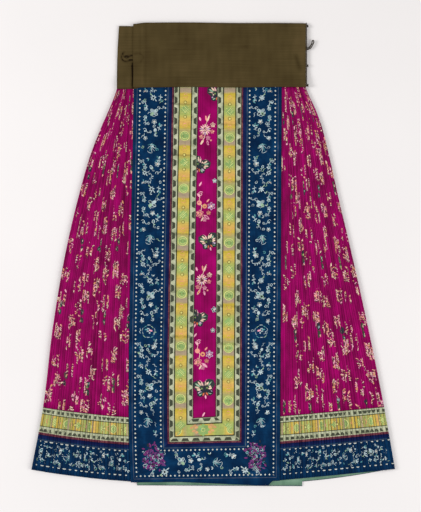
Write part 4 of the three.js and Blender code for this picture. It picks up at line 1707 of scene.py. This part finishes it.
def corner_flowers(side):
    """The bush of purple blossom woven over each lower corner, as (along, inset) on the side strip."""
    lowest = PANEL[side]["lowest"]
    draw = np.random.default_rng({"left": 91, "right": 92}[side])
    shapes = []
    for _ in range(BUSH["petals"]):
        turn, reach = draw.uniform(0, 360), math.sqrt(draw.uniform(0, 1))
        at = (
            lowest - BUSH["up"] + BUSH["tall"] / 2 * reach * math.cos(turn),
            BUSH["inset"] + BUSH["wide"] / 2 * reach * math.sin(turn),
        )
        thread = ("purple", "purple", "plum", "purple", "night")[draw.integers(5)]
        shapes += moved(petal(draw.uniform(6, 9), 3.2, 0, thread), *at, draw.uniform(0, 360))
        if draw.uniform(0, 1) < 0.34:
            thread = ("white", "grey", "teal", "white")[draw.integers(4)]
            shapes += moved(curl(3.6, 1.5, thread, 0.7, 5), *at, draw.uniform(0, 360))
    flower, spray = moved(round_flower(), lowest - 22, 72, 0, 0.9), moved(tendril(), lowest - 20, 44, 30, 0.8)
    return [shapes, flower, spray]


border_figures, trim_figures = {}, {}
for side, first, knot in (("left", 140.5, 72), ("right", 140.5, 76), ("bottom", 60, 45)):
    surface = frame_surface(PANEL, side, ribbon_height)
    border_figures[side] = lay(f"border_figures_{side}", border_drawn(PANEL, side, first), surface)
    trim_figures[side] = lay(f"trim_figures_{side}", trim_drawn(PANEL, side, knot), surface, 0.1, 0.05)
for side in ("left", "right"):
    surface = frame_surface(PANEL, side, ribbon_height)
    border_figures[f"corner_{side}"] = lay(f"corner_flowers_{side}", corner_flowers(side), surface, 0.24)
print("Frame figures:", sum(len(p.data.polygons) for p in border_figures.values()), "faces")

# %% [markdown]
# ## Sprays and butterflies on the silk
# The magenta silk is figured with sprays of blossom and dark butterflies with pale stripes. The strip
# in the middle of the panel shows them flat, and the pleats show them in slices.

# %% Silk figures
def small_ring(radius, thread, heart):
    return disc(radius, thread, 8) + disc(radius * 0.5, heart, 6)


def chrysanthemum(radius=10.5):
    shapes = []
    for i in range(14):
        thread = ("cream", "pink", "cream", "lavender")[i % 4]
        shapes += petal(radius * 0.9, 2.9, 360 * i / 14, thread, radius * 0.12)
    shapes += disc(radius * 0.44, "wine", 8)
    return shapes + moved(bloom(radius * 0.42, 7, "cream", "olive", "pink", 0.6), 0, 0, 12)


def little_blossom(radius, thread="pink", inside="magenta"):
    return open_flower(radius, 5, thread, inside, "olive")


def spray_of_asters():
    shapes = stroke([(-8, -28), (-2, -17), (1, -6)], 1.8, "cream")
    shapes += stroke([(1, 8), (5, 20), (10, 32)], 1.8, "cream")
    shapes += moved(chrysanthemum(12)) + blade(15, 3.8, "cream", 4, 16, -20)
    shapes += blade(13, 3.6, "salmon", 3, 17, 8) + moved(little_blossom(5.6, "cream"), 16, 10)
    shapes += blade(9, 4, "pink", -9, 18, 20) + moved(little_blossom(4.6, "salmon"), 15, -4)
    shapes += moved(little_blossom(5, "pink"), 6, -17) + moved(little_blossom(5, "salmon"), -8, -15)
    shapes += moved(outlined(13, 4.6, 150, "cream", "orange"), -3, -20)
    shapes += moved(outlined(11, 4.2, 195, "pink", "magenta"), 4, -22)
    return shapes + moved(disc(2, "salmon"), 12, -22)


def spray_of_peach_blossom():
    shapes = stroke([(-8, 30), (-9, 16), (-4, 4), (-6, -8), (-2, -20)], 1.8, "cream")
    shapes += moved(curl(5.5, 2.2, "pink"), -2, 33, 40) + blade(11, 4, "pink", -7, 22, 38)
    shapes += moved(small_ring(5.2, "salmon", "magenta"), -9, 11)
    shapes += moved(small_ring(5, "peach", "magenta"), 2, 4)
    shapes += moved(open_flower(8.6, 6, "lavender", "magenta", "cream"), 16, 4)
    shapes += moved(open_flower(8.6, 6, "salmon", "magenta", "olive"), -8, -12)
    shapes += moved(outlined(15, 5.4, -128, "pink", "magenta"), 0, -14)
    shapes += blade(11, 3.6, "cream", 0, -18, 150)
    shapes += moved(little_blossom(5, "peach"), 10, -10) + blade(9, 3.4, "salmon", 6, 12, -40)
    return shapes + moved(little_blossom(4.4, "pink"), 2, -24)


def butterfly():
    shapes = []
    for side in (1, -1):
        shapes += moved(petal(25, 21, 0, "ink"), 0, 0, 48 * side)
        shapes += moved(petal(17, 14, 0, "night"), 0, -1, 118 * side)
        for spread, reach in ((14, 18), (31, 22), (48, 23), (65, 21), (82, 16)):
            thread = "mint" if spread == 48 else "cream"
            shapes += moved(petal(reach * 0.5, 3.5, 0, thread, reach * 0.42), 0, 0, spread * side)
        for spread in (104, 124):
            thread = "mint" if spread == 124 else "lavender"
            shapes += moved(petal(8, 3.6, 0, thread, 6), 0, -1, spread * side)
        shapes += moved(disc(1.8, "leaf"), 5 * side, 3)
        shapes += moved(petal(7, 3, 0, "orange", 3), 0, -2, 150 * side)
        shapes += stroke([(1 * side, 8), (3 * side, 15), (7 * side, 19)], 1.4, "pink")
    shapes += stroke([(0, -9), (0, 0), (0, 9)], 3.2, "night", 0.7)
    return shapes + blade(8, 3, "pink", 0, -9, 180)


def silk_leaf():
    return petal(14, 4.4, 0, "pink")

# %% [markdown]
# The strip in the middle is narrow, so the trim cuts its figures at both sides.

# %% Figures of the strip
# The strip in the middle: each figure's place across, down, its turn, and its size
STRIP_FIGURES = [
    (butterfly, 9, 150, 10, 1.0), (spray_of_asters, -17, 223, 0, 1.0), (butterfly, -29, 299, -25, 1.0),
    (silk_leaf, -24, 331, 150, 0.8), (star, 3, 329, 0, 0.7), (spray_of_peach_blossom, -20, 386, 0, 1.0),
    (butterfly, -9, 458, 15, 1.0), (spray_of_asters, -24, 535, 0, 1.0), (star, 2, 597, 10, 0.9),
    (butterfly, -34, 618, -20, 1.0), (silk_leaf, -34, 646, 140, 0.8), (star, -1, 640, 0, 0.7),
    (spray_of_peach_blossom, -24, 694, 0, 1.0), (butterfly, -18, 764, 8, 1.12),
    (silk_leaf, -23, 820, -30, 0.8),
]
drawn = [moved(figure(), x, y_at(down), turn, size) for figure, x, down, turn, size in STRIP_FIGURES]
panel_figures = lay("panel_silk_figures", drawn, lambda x, y: (x, y, front_height(x, y)))
print("Strip figures:", len(STRIP_FIGURES))

# %% [markdown]
# ## Figures on the pleats
# The pleats hide half or more of every figure. So the figures are drawn on the cloth as if it lay flat,
# and each fold keeps only the slice that shows. Near the waist the slices are so narrow that they turn
# into the fine upright streaks of the real skirt.

# %% Slices on pleats
def slices_of(form, points):
    """The slices of one shape on flat cloth, as (distance across, distance down), with their folds."""
    along = points[:, 1].mean() / form.length
    if not 0.005 < along < 0.999:
        return []
    seen, ahead = np.interp((along, along + 0.01), *form.pitch_table)
    slope = (ahead - seen) / (0.01 * form.length)
    first = max(0, int(points[:, 0].min() // CLOTH_PER_PLEAT))
    last = min(form.pleats - 1, int(points[:, 0].max() // CLOTH_PER_PLEAT))
    made = []
    for fold in range(first, last + 1):
        crest = (fold + 1) * CLOTH_PER_PLEAT
        part = clip(points, (1, 0), crest)
        if len(part) > 2:
            limit = -(crest - seen) - slope * along * form.length
            part = clip(part, (-1, -slope), limit)
        if shown(part):
            made.append((part, fold))
    return made


def lay_on_pleats(name, form, figures, rise=0.14, walls=False):
    folds, sliced = [], []
    for figure in figures:
        kept = []
        for points, thread in figure:
            for part, fold in slices_of(form, points):
                kept.append((part, thread))
                folds += [fold] * len(part)
        sliced.append(kept)
    folds = np.array(folds)

    def surface(across, down):
        along = down / form.length
        share = 1 - ((folds + 1) * CLOTH_PER_PLEAT - across) / form.pitch(along)
        return form.place(along, folds, np.clip(share, 0.05, 0.985))
    return lay(name, sliced, surface, rise, 0.1, form.facing, walls)

# %% [markdown]
# Rather than repeat a few sprays, each one on the pleats is grown by rule: two or three stems, narrow
# leaves on both sides, and small open flowers with a dark ring. A fixed seed grows the same on every run.

# %% Grown sprays
PALE = ("cream", "salmon", "pink", "cream", "salmon", "peach", "pink")


def grown_spray(draw, wide, tall):
    shapes = []
    stems = draw.integers(2, 4)
    for stem in range(stems):
        aside = (stem / (stems - 1) - 0.5) * wide * 0.72 + draw.uniform(-2, 2)
        reach = tall * draw.uniform(0.62, 1.0)
        low = -tall / 2 + draw.uniform(0, tall - reach)
        heights = np.linspace(0, 1, 5)
        sway = draw.uniform(-3, 3) * np.sin(heights * 3) + draw.uniform(-2, 2) * heights
        path = np.stack([aside + sway, low + reach * heights], -1)
        shapes += stroke(path, 2.4, PALE[draw.integers(7)])
        for leaf in np.linspace(0.05, 0.95, 8):
            turn = draw.choice([-1, 1]) * draw.uniform(18, 65)
            place = (np.interp(leaf, heights, path[:, 0]), low + reach * leaf)
            long = draw.uniform(6, 10)
            # Painted shadow: a slightly wider wine leaf lies just below each pale leaf
            shapes += moved(petal(long, 3.4, 0, "wine"), place[0], place[1] - 1.6, turn)
            shapes += moved(petal(long, 3.1, 0, PALE[draw.integers(7)]), *place, turn)
        for _ in range(draw.integers(1, 3)):
            leaf = draw.uniform(0.15, 0.95)
            place = (np.interp(leaf, heights, path[:, 0]) + draw.uniform(-3, 3), low + reach * leaf)
            radius = draw.uniform(4.2, 6.0)
            first, second = PALE[draw.integers(7)], PALE[draw.integers(7)]
            flower = disc(radius * 0.75, "wine") + bloom(radius, 6, first, "olive", second, 0.56)
            shapes += moved(flower, *place, draw.uniform(0, 60))
    return shapes


def grown_butterfly(draw):
    """A butterfly seen on its side, narrow and dark, with mint and cream stripes."""
    shapes = []
    for turn, long, wide in ((18, 18, 10), (-24, 16, 9), (156, 14, 9), (200, 16, 9)):
        shapes += petal(long, wide, turn + draw.uniform(-6, 6), ("ink", "moss", "night")[draw.integers(3)])
    for turn in (4, 22, -14, -28, 150, 170, 188, 206):
        thread = ("mint", "cream", "grey", "lime", "cream")[draw.integers(5)]
        shapes += petal(draw.uniform(5, 8), 2.3, turn, thread, draw.uniform(4, 8))
    shapes += moved(disc(2.2, "leaf"), 2, 3) + blade(6, 2.6, "salmon", 0, -9, 165)
    return shapes + stroke([(0, 9), (2, 15), (5, 19)], 1.4, "pink")

# %% [markdown]
# ## The silk's repeat on the pleats
# The sprays stand in a loose repeat with one butterfly to a tile, each a little off its place.

# %% Figures of one pleated side
# The silk's repeat: how wide and tall a tile is, and where its sprays and its butterfly stand
TILE = {"wide": 122, "tall": 152, "stagger": 56}
TILE_SPRAYS = [(38, 62), (22, 114), (88, 36), (98, 88), (78, 140), (62, 2)]
TILE_BUTTERFLY = (28, 16)


def figured_silk(width, start, end, seed):
    draw = np.random.default_rng(seed)
    offset = draw.uniform(0, TILE["wide"]), draw.uniform(0, 60)
    figures = []
    for column in range(-1, math.ceil(width / TILE["wide"]) + 1):
        for row in range(-1, math.ceil(end / TILE["tall"]) + 1):
            for place in (*TILE_SPRAYS, TILE_BUTTERFLY):
                x = column * TILE["wide"] + place[0] + offset[0] + draw.uniform(-9, 9)
                x += row % 2 * TILE["stagger"]
                down = row * TILE["tall"] + place[1] + offset[1] + draw.uniform(-11, 11)
                if place is TILE_BUTTERFLY:
                    figure = grown_butterfly(draw)
                else:
                    figure = grown_spray(draw, draw.uniform(26, 38), draw.uniform(28, 40))
                if start + 12 < down < end + 12:
                    figure = moved(figure, x, down, 180 + draw.uniform(-14, 14))
                    cut = [(clip(points, (0, 1), end - 1.5), thread) for points, thread in figure]
                    figures.append([(points, thread) for points, thread in cut if shown(points)])
    return figures


# The hem band is a little lower on the pleats than the same ribbon is on the panel
BAND_SHRINK = 0.945


def pleat_dots(form, inset):
    """The row of teeth as it meets the eye on pleats: one wide tooth on every second fold."""
    shapes = []
    for fold in range(1, form.pleats, 2):
        at = (fold + 1) * CLOTH_PER_PLEAT - 2.9
        shapes.append((np.array([(-2.8, 0.9), (-1.6, -1.3), (1.6, -1.3), (2.8, 0.9)]) + (at, inset), "dot"))
    return [shapes]


def figure_pleats(prefix, side, form, seed, rise=0.14):
    """The figures of the silk, of the hem band and of the trim on one pleated side."""
    width = form.pleats * CLOTH_PER_PLEAT
    drawn = figured_silk(width, 0, TRIM_START * form.length, seed)
    made = {"pleats": lay_on_pleats(f"{prefix}pleat_figures_{side}", form, drawn, rise)}

    hem = form.length
    foot = HEM_BAND_START * hem - HEM_ZONES[0][0]

    def from_hem(figures, start, stretch):
        return [
            [(points * (1, -stretch) + (0, start), thread) for points, thread in figure]
            for figure in figures
        ]
    band = border_run(0, width, -40, 11) + pleat_dots(form, 13.0) + pleat_dots(form, 66.5)
    drawn = from_hem(band, hem, BAND_SHRINK)
    made["hem_band"] = lay_on_pleats(f"{prefix}hem_band_figures_{side}", form, drawn, rise)
    drawn = tape_teeth(0, width, 5.0, -1) + tape_teeth(0, width, 45.6, 1) + gold_run(0, width, 20, 25.3)
    drawn = from_hem(drawn, foot, 1)
    made["pleat_trim"] = lay_on_pleats(f"{prefix}pleat_trim_figures_{side}", form, drawn, rise * 0.7)
    print(prefix, side, "figures:", sum(len(piece.data.polygons) for piece in made.values()), "faces")
    return made


pleat_figures = {
    "left": figure_pleats("", "left", pleat_sides["left"], 81),
    "right": figure_pleats("", "right", pleat_sides["right"], 82),
}

# %% [markdown]
# ## Figures on the back
# The same threads run over the back's ribbons and pleats, on its lower side.

# %% Figures of the back
# The back's figures stand a hair below its cloth, and need no walls, as nobody sees their edges
PRESSED_FLAT = {"rise": 0.06, "sunk": 0.06, "facing": -1, "walls": False}
back_figures = {
    "left": figure_pleats("back_", "left", back_sides["left"], 83, PRESSED_FLAT["rise"]),
    "right": figure_pleats("back_", "right", back_sides["right"], 84, PRESSED_FLAT["rise"]),
}
for side, first, knot in (("left", 180, 90), ("right", 180, 90), ("bottom", 70, 60)):
    surface = frame_surface(BACK_PANEL, side, back_under)
    for kind, drawn in (
        ("border", border_drawn(BACK_PANEL, side, first)),
        ("trim", trim_drawn(BACK_PANEL, side, knot, BORDER + PIECE_GAP)),
    ):
        name = f"back_{kind}_figures_{side}"
        back_figures[f"{kind}_{side}"] = lay(name, drawn, surface, **PRESSED_FLAT)
# The back's strip is wider than the front's and lies to the right of it
BACK_STRIP = {"x": 28, "spread": 1.3, "down": 20}
drawn = []
for figure, x, down, turn, size in STRIP_FIGURES:
    at = BACK_STRIP["x"] + x * BACK_STRIP["spread"], y_at(down + BACK_STRIP["down"])
    drawn.append(moved(figure(), *at, -turn, size))
back_figures["panel"] = lay(
    "back_panel_silk_figures", drawn, lambda x, y: (x, y, back_under(x, y)), **PRESSED_FLAT
)
print("Back figures:", len(back_figures))

# %% [markdown]
# ## Floor, light and camera
# The skirt lies on plain pale paper, which is lit evenly from all around.

# %% Floor
paper = Finish("pale backdrop paper", 0.95, 0.0, (255, 255, 255), 0.1)
paper_tone = paper.noise(paper.node("ShaderNodeTexCoord").outputs["Object"], 3.0)
paper_material = paper.finish(paper.shades(paper_tone, (0.0, (236, 232, 231)), (1.0, (242, 238, 237))))
REACH = 6
floor_corners = [(-REACH, -REACH, 0), (REACH, -REACH, 0), (REACH, REACH, 0), (-REACH, REACH, 0)]
floor_mesh = bpy.data.meshes.new("floor")
floor_mesh.from_pydata(floor_corners, [], [(0, 1, 2, 3)])
floor_mesh.materials.append(paper_material)
floor = bpy.data.objects.new("floor", floor_mesh)
bpy.context.scene.collection.objects.link(floor)
print("Floor:", 2 * REACH, "m wide")

# %% [markdown]
# A bright even air gives most of the light, and two large lamps at the sides bring out the folds.

# %% Light
bpy.context.scene.view_settings.view_transform = "Standard"
world = bpy.data.worlds.new("studio air")
world.use_nodes = True
AIR_LIGHT = 0.55
world.node_tree.nodes["Background"].inputs["Color"].default_value = (1.0, 1.0, 1.0, 1)
world.node_tree.nodes["Background"].inputs["Strength"].default_value = AIR_LIGHT
bpy.context.scene.world = world


def soft_light(name, place, size, power):
    lamp = bpy.data.lights.new(name, "AREA")
    lamp.shape = "RECTANGLE"
    lamp.size, lamp.size_y = size
    lamp.energy = power
    placed = bpy.data.objects.new(name, lamp)
    placed.location = place
    aim = -placed.location.normalized()
    placed.rotation_euler = aim.to_track_quat("-Z", "Y").to_euler()
    bpy.context.scene.collection.objects.link(placed)


soft_light("left soft light", (-2.9, 0.3, 1.9), (0.8, 1.4), 64)
soft_light("right soft light", (2.9, -0.9, 2.1), (1.6, 2.4), 62)
print("Lights:", [lamp.name for lamp in bpy.data.lights])

# %% [markdown]
# The camera hangs straight above with a long lens, so that the edges aren't stretched.

# %% Camera
camera_data = bpy.data.cameras.new("camera")
camera_data.lens = 100
camera_data.sensor_width = 36
camera_data.clip_end = 50
camera = bpy.data.objects.new("camera", camera_data)
camera.location = (-0.0058, -0.0031, 2.962)
bpy.context.scene.collection.objects.link(camera)
bpy.context.scene.camera = camera
print("Camera:", round(camera.location.z, 2), "m above the floor")

# %% [markdown]
# ## Cut sizes
# Each cloth piece's cut width and length are worked out, as far as it shows, and its name goes into a
# list. Cloth hardly stretches.


def declare(piece, wide=None, tall=None):
    size = piece.dimensions
    wide = size.x if wide is None else wide * MM
    tall = size.y if tall is None else tall * MM
    declared.append(piece.name)


# The length of the bottom strips as they were cut
BOTTOM_STRIP = {"front": 310, "back": 344}
declared = []
declare(panel_cloth)
for where in ("left", "right", "bottom"):
    tall = BOTTOM_STRIP["front"] if where == "bottom" else PANEL[where]["lowest"] - TOP
    declare(borders[where], BORDER, tall)
    mitres = 2 if where == "bottom" else 1
    declare(trims[where], TRIM, tall - mitres * TRIM_INSET)
    tall = BOTTOM_STRIP["back"] if where == "bottom" else BACK_PANEL[where]["lowest"] - SEAM_DOWN
    declare(back_borders[where], BORDER, tall)
    tall = tall - mitres * (BORDER + PIECE_GAP)
    declare(back_trims[where], TRIM, tall)
declare(back_panel)
for side in ("left", "right"):
    for kind in ("pleats", "pleat_trim", "hem_band"):
        declare(pleat_walls[side][kind])
        declare(back_walls[side][kind])
declare(front_band)
declare(under_band)
declare(back_band)
declare(lining)
print("Declared cloth pieces:", len(declared))
